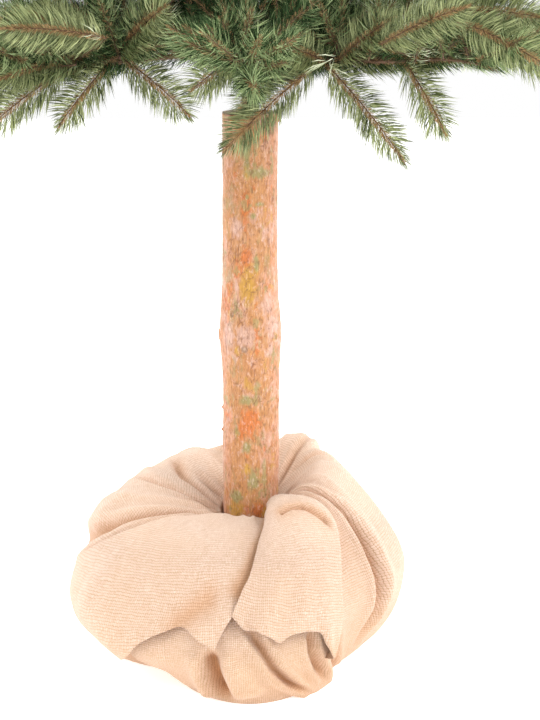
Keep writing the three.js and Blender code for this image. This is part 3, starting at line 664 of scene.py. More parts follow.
def weave_map(mesh, across, down):
    """A UV map in metres of cloth, from each corner's way round and down."""
    layer = mesh.uv_layers.new(name="weave")
    corner = np.zeros(len(mesh.loops), int)
    mesh.loops.foreach_get("vertex_index", corner)
    spread = np.zeros((len(mesh.vertices), 2))
    spread[: across.size] = np.stack([across.ravel(), down.ravel()], -1)
    places = spread[corner]
    starts = np.zeros(len(mesh.polygons), int)
    mesh.polygons.foreach_get("loop_start", starts)
    farthest = np.repeat(np.maximum.reduceat(places[:, 0], starts), np.diff(np.append(starts, len(corner))))
    period = 2 * math.pi * CLOTH_AROUND
    places[places[:, 0] < farthest - period / 2, 0] += period
    layer.data.foreach_set("uv", places.ravel())


body_mesh = grid_mesh("burlap_body", body_places[::-1], joined=True, fans=((0, 0, 0), None))
lip_shape = (len(LIP_RINGS), WRAP_AROUND)
body_share = np.concatenate([np.full(lip_shape, -0.05), share_rows, np.full((1, WRAP_AROUND), 1.05)])
body_angle = np.concatenate([angle_columns[:len(LIP_RINGS)], angle_columns, angle_columns[:1]])
weave_map(body_mesh, np.radians(body_angle[::-1]) * CLOTH_AROUND, body_share[::-1] * CLOTH_DOWN)


def burlap_finish():
    """Plain weave of coarse peach-coloured yarn, with slubs and open corners between the yarns, painted shade
    in the creases, and painted light that changes with height.
    """
    cloth = Finish("burlap_weave")
    flat = cloth.add("ShaderNodeUVMap", {"uv_map": "weave"}, {}, out="UV")
    parts = cloth.add("ShaderNodeSeparateXYZ", {}, {"Vector": flat}, out="X")
    u = parts + (cloth.cloud(cloth.places(), 22, 2) - 0.5) * YARN_WANDER
    v = parts.other("Y") + (cloth.cloud(cloth.places(), 27, 2) - 0.5) * YARN_WANDER
    warp = (u * (math.pi / YARN_PITCH)).sine()
    weft = (v * (math.pi / YARN_PITCH)).sine()
    over = (warp * weft).eased(-0.12, 0.12)
    lift = warp.size() * over + weft.size() * (1 - over)
    warp_way = cloth.add("ShaderNodeCombineXYZ", {}, {"X": u * SLUB_SHORT, "Y": v * SLUB_LONG, "Z": 0})
    weft_way = cloth.add("ShaderNodeCombineXYZ", {}, {"X": u * SLUB_LONG, "Y": v * SLUB_SHORT, "Z": 3})
    slub = cloth.cloud(warp_way, 1.0, 1) * over + cloth.cloud(weft_way, 1.0, 1) * (1 - over)
    broad = cloth.cloud(cloth.places(), 9, 2)
    tone = cloth.ramp(slub, [(0.25, (0.68, 0.46, 0.315)), (0.5, (0.80, 0.58, 0.45)),
                             (0.75, (0.90, 0.71, 0.585))])
    tone = cloth.blend(broad.eased(0.35, 0.65) * 0.3, tone, (0.80, 0.55, 0.38))
    tone = cloth.blend(lift.eased(0.62, 0.12) * 0.85, tone, (0.46, 0.265, 0.115))
    # Painted shade: the cloth turns darker and browner in its creases and where a flap lies close to the
    # cloth beneath.
    painted_crease_shade = cloth.ramp(cloth.stored("tucked"), [(0.0, (1.0, 1.0, 1.0)), (1.0, (0.83, 0.63, 0.44))])
    # Painted light: the cloth is darker and warmer near the floor and brighter and whiter towards its top, as
    # the light falls on it.
    height = cloth.add("ShaderNodeSeparateXYZ", {}, {"Vector": cloth.places()}, out="Z")
    painted_light_by_height = cloth.ramp(height * 3, [(0.10, (0.88, 0.80, 0.70)), (0.24, (0.84, 0.79, 0.72)),
                                   (0.38, (0.875, 0.855, 0.84)), (0.70, (0.875, 0.87, 0.885)),
                                   (0.93, (1.10, 1.14, 1.19))])
    for tint in (painted_crease_shade, painted_light_by_height):
        tone = cloth.blend(1.0, tone, tint, "MULTIPLY")
    hairs = cloth.cloud(cloth.places(), 900, 2)
    normal = cloth.bumps(lift * 0.8 + slub * 0.5 + hairs * 0.25, 0.0011, 0.8)
    return cloth.wear(Base_Color=tone, Roughness=lift.eased(0.1, 0.9, 0.98, 0.86), Normal=normal,
                      Sheen_Weight=0.25, Sheen_Roughness=0.5)


def smooth_run(points, count):
    """So many places spaced evenly along a smooth line through the given ones."""
    given = np.array(points, float)
    padded = np.vstack([2 * given[0] - given[1], given, 2 * given[-1] - given[-2]])
    steps = np.linspace(0, 1, 24)[:, None]
    line = np.vstack([between(*padded[k:k + 4], steps) for k in range(len(given) - 1)])
    way = np.concatenate([[0], np.cumsum(np.linalg.norm(np.diff(line * CLOTH_SCALE, axis=0), axis=1))])
    even = np.linspace(0, way[-1], count)
    return np.stack([np.interp(even, way, line[:, k]) for k in (0, 1)], -1)


def patch_places(top, bottom, left, right, across, down):
    """(degrees, share) places that fill the patch between four edges."""
    top_run = smooth_run(top, across)
    bottom_run = smooth_run(bottom, across)
    left_run = smooth_run(left, down)
    right_run = smooth_run(right, down)
    s = np.linspace(0, 1, across)[None, :, None]
    t = np.linspace(0, 1, down)[:, None, None]
    sides = (1 - s) * left_run[:, None] + s * right_run[:, None]
    ends = (1 - t) * top_run[None] + t * bottom_run[None]
    corners = ((1 - s) * (1 - t) * top_run[0] + s * (1 - t) * top_run[-1] + (1 - s) * t * bottom_run[0]
               + s * t * bottom_run[-1])
    return sides + ends - corners


def cloth_object(name, mesh, offset):
    """A sheet of the cloth, as thick as the cloth, on one side of its mesh or half on each."""
    piece = add_object(name, mesh)
    wall = piece.modifiers.new("thickness", "SOLIDIFY")
    wall.thickness = CLOTH_THICK
    wall.offset = offset
    return piece


# How deep a flap's edges go under the cloth, its least height off the floor, how deep it sinks into
# the body's creases, and how far its parts stand off the body.
FLAP_TUCK = 0.004
FLAP_FLOOR_GAP = 0.003
FLAP_SINK = 0.006
LEFT_STAND = 0.014
RIGHT_STAND = 0.011
RIGHT_ROLL = 0.009
FREE_STAND = 0.008
FLAP_SWELL = 0.010
FLAP_RIPPLE = 0.002
HEM_RIPPLE = 0.0015
DENT_REACH = 0.020
HOLLOW_DEPTH = 0.012
PINCH_DEPTH = 0.013
PINCH_REACH = 0.005
PINCH_WIDENS = 0.006
SEAM_END = 0.86
# A flap is painted darker, as shade, where it stands off less than this, over so much height.
DARK_BELOW = 0.007
DARK_RUN = 0.009
# The left flap's hollow and the right one's pinch run along these lines, and the flaps are painted darker
# along them, as shade.
HOLLOW = ((246, 0.56), (250, 0.53), (254, 0.50))
PINCH = ((297, 0.283), (304.5, 0.282), (310, 0.302), (313, 0.341), (316, 0.38))


def flap(name, edges, lift, dent, across, down, turn, shift):
    """A flap of the cloth over the body, with its own run of the weave, turned and shifted, painted darker as
    shade where it lies close to the body and along its dent.
    """
    spots = patch_places(*edges, across, down)
    s, t = np.meshgrid(np.linspace(0, 1, across), np.linspace(0, 1, down))
    angle, share = spots[..., 0], spots[..., 1]
    stand = lift(s, t, angle, share)
    places = wrap_raised(angle, share, np.maximum(body_lift(angle, share), -FLAP_SINK) + stand)
    places[..., 2] = np.maximum(places[..., 2], FLAP_FLOOR_GAP)
    mesh = grid_mesh(name, places[::-1])
    u = np.radians(angle) * CLOTH_AROUND
    v = share * CLOTH_DOWN
    weave_map(mesh, (u * math.cos(turn) - v * math.sin(turn) + shift)[::-1],
              (u * math.sin(turn) + v * math.cos(turn))[::-1])
    away, _ = from_line(angle, share, dent)
    # Painted shade: darker where the flap lies close to the body and along its dent.
    tucked = np.maximum(smooth((DARK_BELOW - stand) / DARK_RUN), 0.65 * hump(away, DENT_REACH))
    give(mesh, "tucked", tucked[::-1])
    return cloth_object(name, mesh, 0)


def left_lift(s, t, angle, share):
    """The front left flap: a rounded upper edge, dipping to the seam, free and bulging lower down."""
    tucked = smooth(s / 0.10) * smooth(t / 0.07)
    seam = smooth((SEAM_END - t) / 0.10) * smooth((s - 0.84) / 0.16)
    free = smooth((t - 0.72) / 0.28) * smooth(s / 0.3)
    swell = FLAP_SWELL * np.sin(math.pi * s) * np.sin(math.pi * (0.1 + t * 0.8))
    wave = FLAP_RIPPLE * cloth_noise(angle, share, 41, 0.05) + FLAP_RIPPLE * np.sin(9 * t + 5 * s) * smooth(t)
    away, _ = from_line(angle, share, HOLLOW)
    dip = HOLLOW_DEPTH * hump(away, DENT_REACH)
    return -FLAP_TUCK + tucked * ((LEFT_STAND + swell + wave) * (1 - 0.8 * seam) + FREE_STAND * free - dip)


def right_lift(s, t, angle, share):
    """The front right flap: pinched at its top, round at its right, hanging free at its torn hem."""
    tucked = smooth(t / 0.08) * smooth((1 - s) / 0.09)
    free = smooth((t - 0.6) / 0.4)
    swell = FLAP_SWELL * np.sin(math.pi * s) * np.sin(math.pi * (0.25 + t * 0.75))
    wave = FLAP_RIPPLE * cloth_noise(angle, share, 42, 0.045) + HEM_RIPPLE * np.sin(26 * s + 2 * t) * free
    away, along = from_line(angle, share, PINCH)
    dip = PINCH_DEPTH * hump(away, PINCH_REACH + PINCH_WIDENS * along)
    stand = RIGHT_STAND + RIGHT_ROLL * smooth(s / 0.22) + FREE_STAND * free + swell + wave - dip
    return -FLAP_TUCK + tucked * stand


# The seam between the flaps, from the log down to where the left one shows again, and each flap's
# upper, lower, left and right edge.
SEAM = ((300, 0.03), (291, 0.14), (283, 0.245), (275.5, 0.32), (272.8, 0.364), (269.4, 0.437), (266.5, 0.475),
        (263, 0.537))
LEFT_EDGES = (
    ((180, 0.55), (190, 0.505), (197, 0.469), (203, 0.42), (210, 0.335), (215, 0.25), (224, 0.195),
     (236, 0.15), (252, 0.12), (275, 0.09), (300, 0.045)),
    ((178, 0.74), (190, 0.725), (203, 0.712), (211, 0.704), (218, 0.702), (225, 0.698), (231, 0.672),
     (235, 0.635), (238.6, 0.613), (242.6, 0.592), (246, 0.572), (249.3, 0.576), (252.2, 0.595),
     (254, 0.607), (256.2, 0.617), (258.7, 0.628)),
    ((180, 0.55), (177, 0.61), (176, 0.68), (178, 0.74)),
    ((300, 0.045), *((angle + 1, share + 0.004) for angle, share in SEAM[1:-1]), (262.8, 0.545),
     (261, 0.575), (258.7, 0.628)))
RIGHT_EDGES = (
    ((300, 0.03), (306, 0.06), (313, 0.11), (320, 0.2)),
    ((263, 0.537), (265.4, 0.556), (267.4, 0.573), (270.8, 0.578), (272.9, 0.59), (275.3, 0.607),
     (278, 0.621), (281.4, 0.61), (285.3, 0.609), (289.5, 0.616), (293.4, 0.632), (294.9, 0.676),
     (299.1, 0.766)),
    SEAM,
    ((320, 0.2), (324, 0.30), (325.5, 0.36), (325, 0.41), (323, 0.454), (319, 0.502), (314.6, 0.542),
     (310.9, 0.582), (306.5, 0.66), (303, 0.72), (299.1, 0.766)))

# Painted shade: the body is darker where its narrower folds sink in.
body_painted_shade = np.clip(-body_lift(angle_columns, share_rows, WIDEST_SHADED_FOLD) / 0.020, 0, 1)
give(body_mesh, "tucked", np.concatenate([np.ones(lip_shape), body_painted_shade, body_painted_shade[-1:]])[::-1])
burlap = cloth_object("burlap_body", body_mesh, -1)
left_flap = flap("burlap_left_flap", LEFT_EDGES, left_lift, HOLLOW, across=150, down=110, turn=0.12,
                 shift=0.4)
right_flap = flap("burlap_right_flap", RIGHT_EDGES, right_lift, PINCH, across=130, down=110, turn=-0.2,
                  shift=0.9)
burlap_material = burlap_finish()
for piece in (burlap, left_flap, right_flap):
    piece.data.materials.append(burlap_material)
    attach(piece, "root")
    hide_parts("burlap_wrap")

# Pole and collars
# A green painted steel tube stands in the log's top, and four collars are clamped round it with a
# hook's slot for each bough. The solids stay and get a worn paint.
paint = Finish("green_paint")
paint_cloud = paint.cloud(paint.places(), 70, 3)
paint_tone = paint.ramp(paint_cloud, [(0.35, (0.018, 0.035, 0.018)), (0.65, (0.035, 0.060, 0.030))])
paint.wear(Base_Color=paint_tone, Roughness=paint_cloud.eased(0.3, 0.7, 0.38, 0.55), Metallic=0.1,
           Normal=paint.bumps(paint_cloud, 0.0004, 0.4))
for node in ("pole", "collar_1", "collar_2", "collar_3", "collar_4"):
    dress(node, paint.material)

# Boughs
# Each bough is a steel wire, wound in brown tape, that hooks into its collar and carries on through
# its mass of needles. It leaves the collar rising and sags towards its tip.
TIERS = (
    {"height": 1.100, "boughs": 7, "reach": 0.620, "lift": -0.10, "turn": 12, "pairs": 3, "teeth": 3},
    {"height": 1.275, "boughs": 6, "reach": 0.520, "lift": -0.01, "turn": 40, "pairs": 2, "teeth": 3},
    {"height": 1.450, "boughs": 5, "reach": 0.420, "lift": 0.08, "turn": 5, "pairs": 2, "teeth": 2},
    {"height": 1.615, "boughs": 4, "reach": 0.325, "lift": 0.17, "turn": 30, "pairs": 2, "teeth": 2},
    {"height": 1.765, "boughs": 4, "reach": 0.235, "lift": 0.30, "turn": 78.75, "pairs": 2, "teeth": 2},
)
TOP_TIER = {"height": 1.905, "reach": 0.150, "lift": 0.5}
# The fifth tier's masses stand on bare stems at the pole, without a collar.
BARE_LEVEL = 4
BOUGH_SAG = 0.18
BLADE_LENGTH = 0.225
BLADE_IN_REACH = 0.42
LIMB_SHORT = 0.62
COLLAR_RADIUS = 0.030
# The pole is thinner above its step.
POLE_RADII = (0.015, 0.012)
POLE_STEP = 1.53
BARE_START = 0.0125
BOUGH_GIRTHS = (0.0058, 0.0044, 0.0020)
TAPE_PITCH = 0.010
TAPE_DEPTH = 0.0006
# The first tier's boughs curve up by so much from a radius on.
FIRST_TIER_RISE = 0.036
RISE_FROM = 0.24
RISE_RUN = 0.24


def every_bough():
    """Each bough's level, its number in the tier and its direction in degrees."""
    for level, tier in enumerate(TIERS):
        for k in range(tier["boughs"]):
            yield level, k + 1, tier["turn"] + 360 * k / tier["boughs"]


def bough_height(tier, radius):
    return tier["height"] + radius * (tier["lift"] + BOUGH_SAG * (1 - radius / tier["reach"]))


def before_end(tier, share):
    """The radius that lies a share of a blade's length before the bough's full reach."""
    return tier["reach"] - share * min(BLADE_LENGTH, BLADE_IN_REACH * tier["reach"])


def on_bough(tier, azimuth, radius):
    turn = math.radians(azimuth)
    height = bough_height(tier, radius)
    if tier is TIERS[0]:
        height += FIRST_TIER_RISE * smooth((radius - RISE_FROM) / RISE_RUN)
    return np.array((radius * math.cos(turn), radius * math.sin(turn), height))


def paths_object(name, paths):
    """An object of bare edges along paths, each a list of places and numbers for every place."""
    corners = []
    edges = []
    stored = {}
    for places, numbers in paths:
        first = len(corners)
        corners.extend(places)
        edges.extend((first + k, first + k + 1) for k in range(len(places) - 1))
        for label, values in numbers.items():
            stored.setdefault(label, []).extend(np.broadcast_to(values, len(places)))
    mesh = bpy.data.meshes.new(name)
    mesh.from_pydata(corners, edges, [])
    for label, values in stored.items():
        mesh.attributes.new(label, "FLOAT", "POINT").data.foreach_set("value", values)
    return add_object(name, mesh)


class Recipe(Nodes):
    """A tree of geometry nodes with named inputs, which turns paths into a piece."""

    def __init__(self, name, inputs):
        super().__init__(bpy.data.node_groups.new(name, "GeometryNodeTree"))
        self.tree.interface.new_socket("Geometry", in_out="OUTPUT", socket_type="NodeSocketGeometry")
        self.tree.interface.new_socket("Paths", in_out="INPUT", socket_type="NodeSocketGeometry")
        for label, kind in inputs.items():
            self.tree.interface.new_socket(label, in_out="INPUT", socket_type="NodeSocket" + kind)
        self.entry = self.tree.nodes.new("NodeGroupInput")

    def given(self, label):
        """One of the tree's own inputs."""
        return Value(self, self.entry, self.entry.outputs[label])

    def number(self, label):
        """A number stored along the paths."""
        return self.add("GeometryNodeInputNamedAttribute", {"data_type": "FLOAT"}, {"Name": label},
                        out="Attribute")

    def chance(self, low, high, seed, kind="FLOAT"):
        """A random number for each point."""
        ends = {"Min": low, "Max": high, "Seed": seed}
        return self.add("FunctionNodeRandomValue", {"data_type": kind}, ends)

    def keep(self, shape, label, value, domain="POINT"):
        """The shape with a number stored on it under a label."""
        return self.add("GeometryNodeStoreNamedAttribute", {"data_type": "FLOAT", "domain": domain},
                        {"Geometry": shape, "Name": label, "Value": value})

    def line(self, step):
        """The paths as curves, with a point at every step."""
        curve = self.add("GeometryNodeMeshToCurve", {}, {"Mesh": self.given("Paths")})
        return self.add("GeometryNodeResampleCurve", {"mode": "LENGTH"}, {"Curve": curve, "Length": step})

    def close(self, shape):
        """Ends the tree: instances are realized and the finish is set."""
        solid = self.add("GeometryNodeRealizeInstances", {}, {"Geometry": shape})
        dressed = self.add("GeometryNodeSetMaterial", {},
                           {"Geometry": solid, "Material": self.given("Finish")})
        leaving = self.tree.nodes.new("NodeGroupOutput")
        self.tree.links.new(dressed.socket, leaving.inputs["Geometry"])

    def make(self, name, paths, **given):
        """The piece that the tree makes from paths; an underscore in a name stands for a space."""
        source = paths_object(name + "_paths", paths)
        modifier = source.modifiers.new("recipe", "NODES")
        modifier.node_group = self.tree
        for item in self.tree.interface.items_tree:
            label = item.name.replace(" ", "_")
            if item.in_out == "INPUT" and label in given:
                modifier[item.identifier] = given[label]
        graph = bpy.context.evaluated_depsgraph_get()
        mesh = bpy.data.meshes.new_from_object(source.evaluated_get(graph), depsgraph=graph)
        bpy.data.objects.remove(source)
        mesh.name = name
        return add_object(name, mesh)


def limb_recipe():
    """Round limbs along the paths, as thick as each point's girth, with tape wound round them."""
    limb = Recipe("wound limb", {"Step": "Float", "Sides": "Int", "Pitch": "Float", "Depth": "Float",
                                 "Finish": "Material"})
    travelled = limb.add("GeometryNodeSplineParameter", {}, {}, out="Length")
    line = limb.keep(limb.line(limb.given("Step")), "wound", travelled)
    ring = limb.add("GeometryNodeCurvePrimitiveCircle", {},
                    {"Resolution": limb.given("Sides"), "Radius": 1.0})
    ring = limb.keep(ring, "round", limb.add("GeometryNodeSplineParameter", {}, {}, out="Factor"))
    tube = limb.add("GeometryNodeCurveToMesh", {}, {"Curve": line, "Profile Curve": ring,
                                                    "Scale": limb.number("girth"), "Fill Caps": True})
    phase = (limb.number("wound") / limb.given("Pitch") + limb.number("round")) * (2 * math.pi)
    ridge = phase.sine() * limb.given("Depth")
    out = limb.add("GeometryNodeInputNormal", {}, {}, out="Normal")
    push = limb.add("ShaderNodeVectorMath", {"operation": "SCALE"}, {"Vector": out, "Scale": ridge})
    tube = limb.add("GeometryNodeSetPosition", {}, {"Geometry": tube, "Offset": push})
    limb.close(limb.add("GeometryNodeSetShadeSmooth", {}, {"Geometry": tube}))
    return limb


tape = Finish("brown_tape")
tape_stains = tape.cloud(tape.places(), 160, 3)
tape_creases = tape.cloud(tape.places(), 700, 2)
tape_tone = tape.ramp(tape_stains, [(0.3, (0.10, 0.055, 0.03)), (0.7, (0.20, 0.11, 0.06))])
tape.wear(Base_Color=tape_tone, Roughness=0.62, Normal=tape.bumps(tape_creases, 0.0004, 0.5))

limbs = []
for level, _, azimuth in every_bough():
    tier = TIERS[level]
    start = COLLAR_RADIUS if level < BARE_LEVEL else BARE_START
    end = before_end(tier, LIMB_SHORT)
    run = np.linspace(start, end, 14)
    girth = np.interp(run, (start, 0.2 * tier["reach"], end), BOUGH_GIRTHS)
    limbs.append(([on_bough(tier, azimuth, radius) for radius in run], {"girth": girth}))
limb_tree = limb_recipe()
boughs = limb_tree.make("boughs", limbs, Step=0.003, Sides=10, Pitch=TAPE_PITCH, Depth=TAPE_DEPTH,
                        Finish=tape.material)
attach(boughs, "root")
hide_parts(*(f"bough_{level + 1}_{k}" for level, k, _ in every_bough() if level < BARE_LEVEL))

# Needles
# Green and brown plastic foil, cut into fringes and twisted between two wires, makes tips like
# bottle brushes. Sprays of such tips grow from the boughs: one at each end, pairs that point
# outwards along it, and some above and below. A core of short brown needles runs through each tip.

# The gaps round a mass's space, how far a grown tip may stray past it, aside and up or down, and how
# low the crown reaches.
POLE_GAP = 0.004
SPACE_GAP = 0.0012
LOG_SIDE_GAP = 0.012
LOG_TOP_GAP = 0.008
REACH_SLACK = 0.002
SPACE_SLACK = (0.045, 0.028)
CROWN_FOOT = 0.935

# The source's blades: the proportions of one, and where a mass's run of them starts and ends. A
# blade or a tip that leaves its space is tried again at each smaller size.
BLADE_WIDTH = 0.62
BLADE_ANGLE = 50
BLADE_LARGEST = 0.58
MASS_START = 0.25
BARE_MASS_START = 0.2
MASS_SHORT = 0.8
TOOTH_SLANT = 0.34
ROOT_NOTCH = 0.0035
BLADE_SIZES = (1, 0.86, 0.72, 0.58)
HUB_SHARE = 0.12
TIP_SIZES = (1.0, 0.86, 0.72, 0.6)
TIP_STEPS = 6
TWIG_GIRTHS = np.linspace(0.0017, 0.0008, TIP_STEPS + 1)
HUB_GIRTH = 0.0022
# A spray's tips: the yaw and the pitch in degrees, and the share of the blade's length.
TIP_FAN = ((0, 0, 0.94), (35, 8, 0.80), (-35, -8, 0.80), (70, -10, 0.56), (-70, 10, 0.56), (0, 50, 0.64))
TIP_STRAY = 7
NEEDLE_LONGEST = 0.050
UP = np.array((0.0, 0.0, 1.0))
needle_random = np.random.default_rng(71)


def seeded(seed):
    """The source's own repeatable run of numbers from 0 to 1."""
    state = [seed]

    def draw():
        state[0] = state[0] * 16807 % 2147483647
        return state[0] / 2147483647

    return draw


def turned(vector, axis, angle):
    """A vector turned about an axis by an angle in degrees."""
    a = math.radians(angle)
    level = axis * np.dot(axis, vector)
    return vector * math.cos(a) + np.cross(axis, vector) * math.sin(a) + level * (1 - math.cos(a))


def aimed(stem, yaw, pitch):
    """A direction that leaves a stem by a yaw to the side and a pitch upwards, in degrees."""
    return turned(turned(stem, unit(np.cross(UP, stem)), -pitch), UP, yaw)


def between_tiers(level, radius):
    upper = TIERS[level + 1] if level + 1 < len(TIERS) else TOP_TIER
    return 0.5 * (bough_height(TIERS[level], radius) + bough_height(upper, radius))


def in_space(level, azimuth, point, slack):
    """Whether a point is in the space that one mass keeps to, give or take the slack."""
    tier = TIERS[level]
    radius = math.hypot(point[0], point[1])
    pole = POLE_RADII[0] if point[2] < POLE_STEP else POLE_RADII[1]
    if radius > tier["reach"] + REACH_SLACK or radius < pole + POLE_GAP:
        return False
    outward = (math.cos(math.radians(azimuth)), math.sin(math.radians(azimuth)))
    ahead = point[0] * outward[0] + point[1] * outward[1]
    aside = abs(point[0] * outward[1] - point[1] * outward[0])
    half = math.pi / tier["boughs"]
    if ahead * math.sin(half) - aside * math.cos(half) < SPACE_GAP - slack[0]:
        return False
    floor = CROWN_FOOT if radius > LOG_RADIUS + LOG_SIDE_GAP else LOG_TOP + LOG_TOP_GAP
    if level:
        floor = between_tiers(level - 1, radius) + SPACE_GAP - slack[1]
    return floor < point[2] < between_tiers(level, radius) - SPACE_GAP + slack[1]


def blade_corners(root, along, across, length, teeth):
    """The outline of one of the source's toothed blades, to see whether it keeps to its space."""
    width = BLADE_WIDTH * length
    slant = TOOTH_SLANT * width
    pitch = (length - slant) / (teeth + 0.35)
    corners = [root + along * length]
    for tooth in range(teeth + 1):
        at = tooth * pitch
        part = at / length
        notch = ROOT_NOTCH if tooth == 0 else 0.2 * width * (1 - 0.55 * part)
        sides = [(at, 0), (at + notch, notch), (at + notch, -notch)]
        if tooth < teeth:
            reach = 0.5 * width * (1 - 0.3 * abs(part - 0.35))
            sides += [(at + pitch * 0.75 + slant, reach), (at + pitch * 0.75 + slant, -reach)]
        corners += [root + along * x + across * y for x, y in sides]
    return corners


def full_blade(tier):
    """The length of a tier's longest blades."""
    return min(BLADE_LENGTH, BLADE_LARGEST * tier["reach"])


def root_and_stem(tier, azimuth, radius):
    """A place on a bough, and the direction in which the bough goes on."""
    root = on_bough(tier, azimuth, radius)
    return root, unit(on_bough(tier, azimuth, radius + 0.005) - root)


def blades_of(level, azimuth):
    """The source's blades of one mass: (root, along, across, length)."""
    tier = TIERS[level]
    random = seeded(1000 * (level + 1) + round(azimuth) + 7)
    start = (BARE_MASS_START if level == BARE_LEVEL else MASS_START) * tier["reach"]
    end = before_end(tier, MASS_SHORT)
    full = full_blade(tier)
    wanted = [(end - 0.008, 0, -4, 1.0)]
    for pair in range(tier["pairs"]):
        radius = start + (end - 0.02 - start) * (pair + 0.25) / tier["pairs"]
        for side in (-1, 1):
            yaw = side * (BLADE_ANGLE + 10 * (random() - 0.5))
            pitch = ((20 if pair % 2 else -16) + 10 * (random() - 0.5)) * (1 if side > 0 else 0.7)
            wanted.append((radius + side * 0.007, yaw, pitch, 1.0))
    for share, pitch in ((0.25, 46), (0.7, 34), (0.45, -40)):
        if level > 2 and share > 0.6:
            continue
        wanted.append((start + (end - start) * share, 26 * (random() - 0.5), pitch, 0.9))
    blades = []
    for radius, yaw, pitch, scale in wanted:
        root, stem = root_and_stem(tier, azimuth, radius)
        along = aimed(stem, yaw, pitch)
        across = turned(unit(np.cross(UP, along)), along, 24 * (random() - 0.5))
        for size in BLADE_SIZES:
            length = full * scale * size
            corners = blade_corners(root, along, across, length, tier["teeth"])
            if all(in_space(level, azimuth, corner, (0, 0)) for corner in corners):
                blades.append((root, along, across, length))
                break
    return blades


def tip(places, needle, roll=0.0):
    """A line that needles grow on, with their length and how far they are rolled round it."""
    return places, {"needle": needle, "roll": roll}


def tip_path(start, way, length, bend, needle):
    """One tip, which bends evenly as it goes."""
    places = [start]
    for _ in range(TIP_STEPS):
        way = unit(way + bend / TIP_STEPS)
        places.append(places[-1] + way * length / TIP_STEPS)
    return tip(places, needle, float(needle_random.normal(0, 0.4)))


def spray(blade, allowed, random, fan=TIP_FAN):
    """The twig and the tips that a blade stands for: a fan that opens from a hub."""
    root, along, across, length = blade
    up = np.cross(along, across)
    hub = root + along * HUB_SHARE * length
    twigs = []
    tips = []
    for yaw, pitch, share in fan:
        yaw += random.uniform(-TIP_STRAY, TIP_STRAY)
        pitch = pitch * random.choice((1, 1, -1)) + random.uniform(-TIP_STRAY, TIP_STRAY)
        way = turned(turned(along, across, -pitch), up, yaw)
        bend = up * random.uniform(-0.12, 0.22) + across * random.uniform(-0.14, 0.14)
        for size in TIP_SIZES:
            reach = length * share * size * random.uniform(0.94, 1.04)
            needle = min(NEEDLE_LONGEST, 0.025 + 0.16 * reach)
            path = tip_path(hub, way, reach, bend, needle)
            if all(allowed(place) for place in path[0][3:]):
                tips.append(path)
                twigs.append((path[0], {"girth": TWIG_GIRTHS}))
                break
    if tips:
        twigs.append(([root, hub], {"girth": HUB_GIRTH}))
    return twigs, tips


# The crown's lower edge as the camera sees it: below these rows of the picture, at these columns,
# only the placed tips hang.
OPEN_COLUMNS = (-60, 0, 25, 57, 119, 150, 190, 205, 230, 265, 285, 299, 407, 440, 480, 540, 600)
OPEN_ROWS = (140, 94, 84, 76, 70, 50, 46, 58, 84, 100, 90, 70, 64, 58, 60, 62, 140)
PICTURE = (540, 720)
SENSOR = 36


def seen_at(place):
    """The column and the row of the picture at which the camera sees a place."""
    x, y, z = np.array(place) - CAMERA_PLACE
    aside = x * math.cos(CAMERA_TURN) + y * math.sin(CAMERA_TURN)
    ahead = y * math.cos(CAMERA_TURN) - x * math.sin(CAMERA_TURN)
    depth = ahead * math.sin(CAMERA_TILT) - z * math.cos(CAMERA_TILT)
    rise = ahead * math.cos(CAMERA_TILT) + z * math.sin(CAMERA_TILT)
    scale = CAMERA_LENS / SENSOR * PICTURE[1] / depth
    return PICTURE[0] / 2 + scale * aside, PICTURE[1] / 2 - scale * rise


# The tips that hang or stand out in the photo, each from its hub on a bough to its end.
PLACED_TIPS = (
    ((0.106, -0.130, 1.088), (-0.044, -0.128, 0.948)), ((0.133, -0.130, 1.091), (0.256, -0.236, 0.945)),
    ((0.150, -0.130, 1.098), (0.344, -0.220, 1.120)), ((0.150, -0.130, 1.102), (0.236, -0.250, 1.179)),
    ((0.128, -0.130, 1.098), (0.033, -0.260, 1.141)), ((0.256, -0.220, 1.105), (0.318, -0.300, 0.998)),
    ((0.329, -0.340, 1.180), (0.471, -0.440, 1.107)),
    ((-0.230, -0.180, 1.106), (-0.311, -0.280, 1.009)), ((-0.210, -0.180, 1.106), (-0.100, -0.260, 1.023)),
    ((0.004, -0.200, 1.124), (-0.093, -0.300, 1.069)), ((-0.308, -0.240, 1.091), (-0.418, -0.320, 1.012)),
    ((-0.240, -0.180, 1.116), (-0.403, -0.340, 1.087)), ((-0.217, -0.180, 1.119), (-0.134, -0.320, 1.201)),
    ((-0.243, -0.180, 1.122), (-0.346, -0.340, 1.193)), ((0.038, -0.130, 1.078), (-0.017, -0.085, 1.016)),
    ((0.210, -0.300, 1.140), (0.333, -0.420, 1.205)), ((0.330, -0.260, 1.190), (0.456, -0.360, 1.186)),
    ((-0.230, -0.300, 1.150), (-0.386, -0.400, 1.172)))
# How near to a placed tip in the picture, in pixels, and how far before it, in metres, a place hides it.
CLEAR_VIEW = 13
CLEAR_DEPTH = 0.02
CROWN_FRONT = -0.50
PLACED_ARCH = 0.03
PLACED_GIRTHS = np.linspace(0.0019, 0.0008, TIP_STEPS + 1)
STALK_GIRTHS = (0.0026, 0.0019)
placed_seen = np.array([(*seen_at(place), place[1]) for hub, end in np.array(PLACED_TIPS)
                        for place in (hub + (end - hub) * share for share in np.linspace(0.15, 1, 7))])


def is_before_placed(place):
    """Whether a place hides a placed tip from the camera. The crown's outermost tips don't count."""
    if place[1] < CROWN_FRONT:
        return False
    column, row = seen_at(place)
    near = np.hypot(placed_seen[:, 0] - column, placed_seen[:, 1] - row) < CLEAR_VIEW
    return bool(np.any(near & (placed_seen[:, 2] > place[1] + CLEAR_DEPTH)))


def is_allowed(level, azimuth, place):
    """Whether a tip may pass through a place: in its mass's space, not where the photo is open."""
    if not in_space(level, azimuth, place, SPACE_SLACK):
        return False
    if level:
        return True
    if is_before_placed(place):
        return False
    column, row = seen_at(place)
    return row < np.interp(column, OPEN_COLUMNS, OPEN_ROWS)


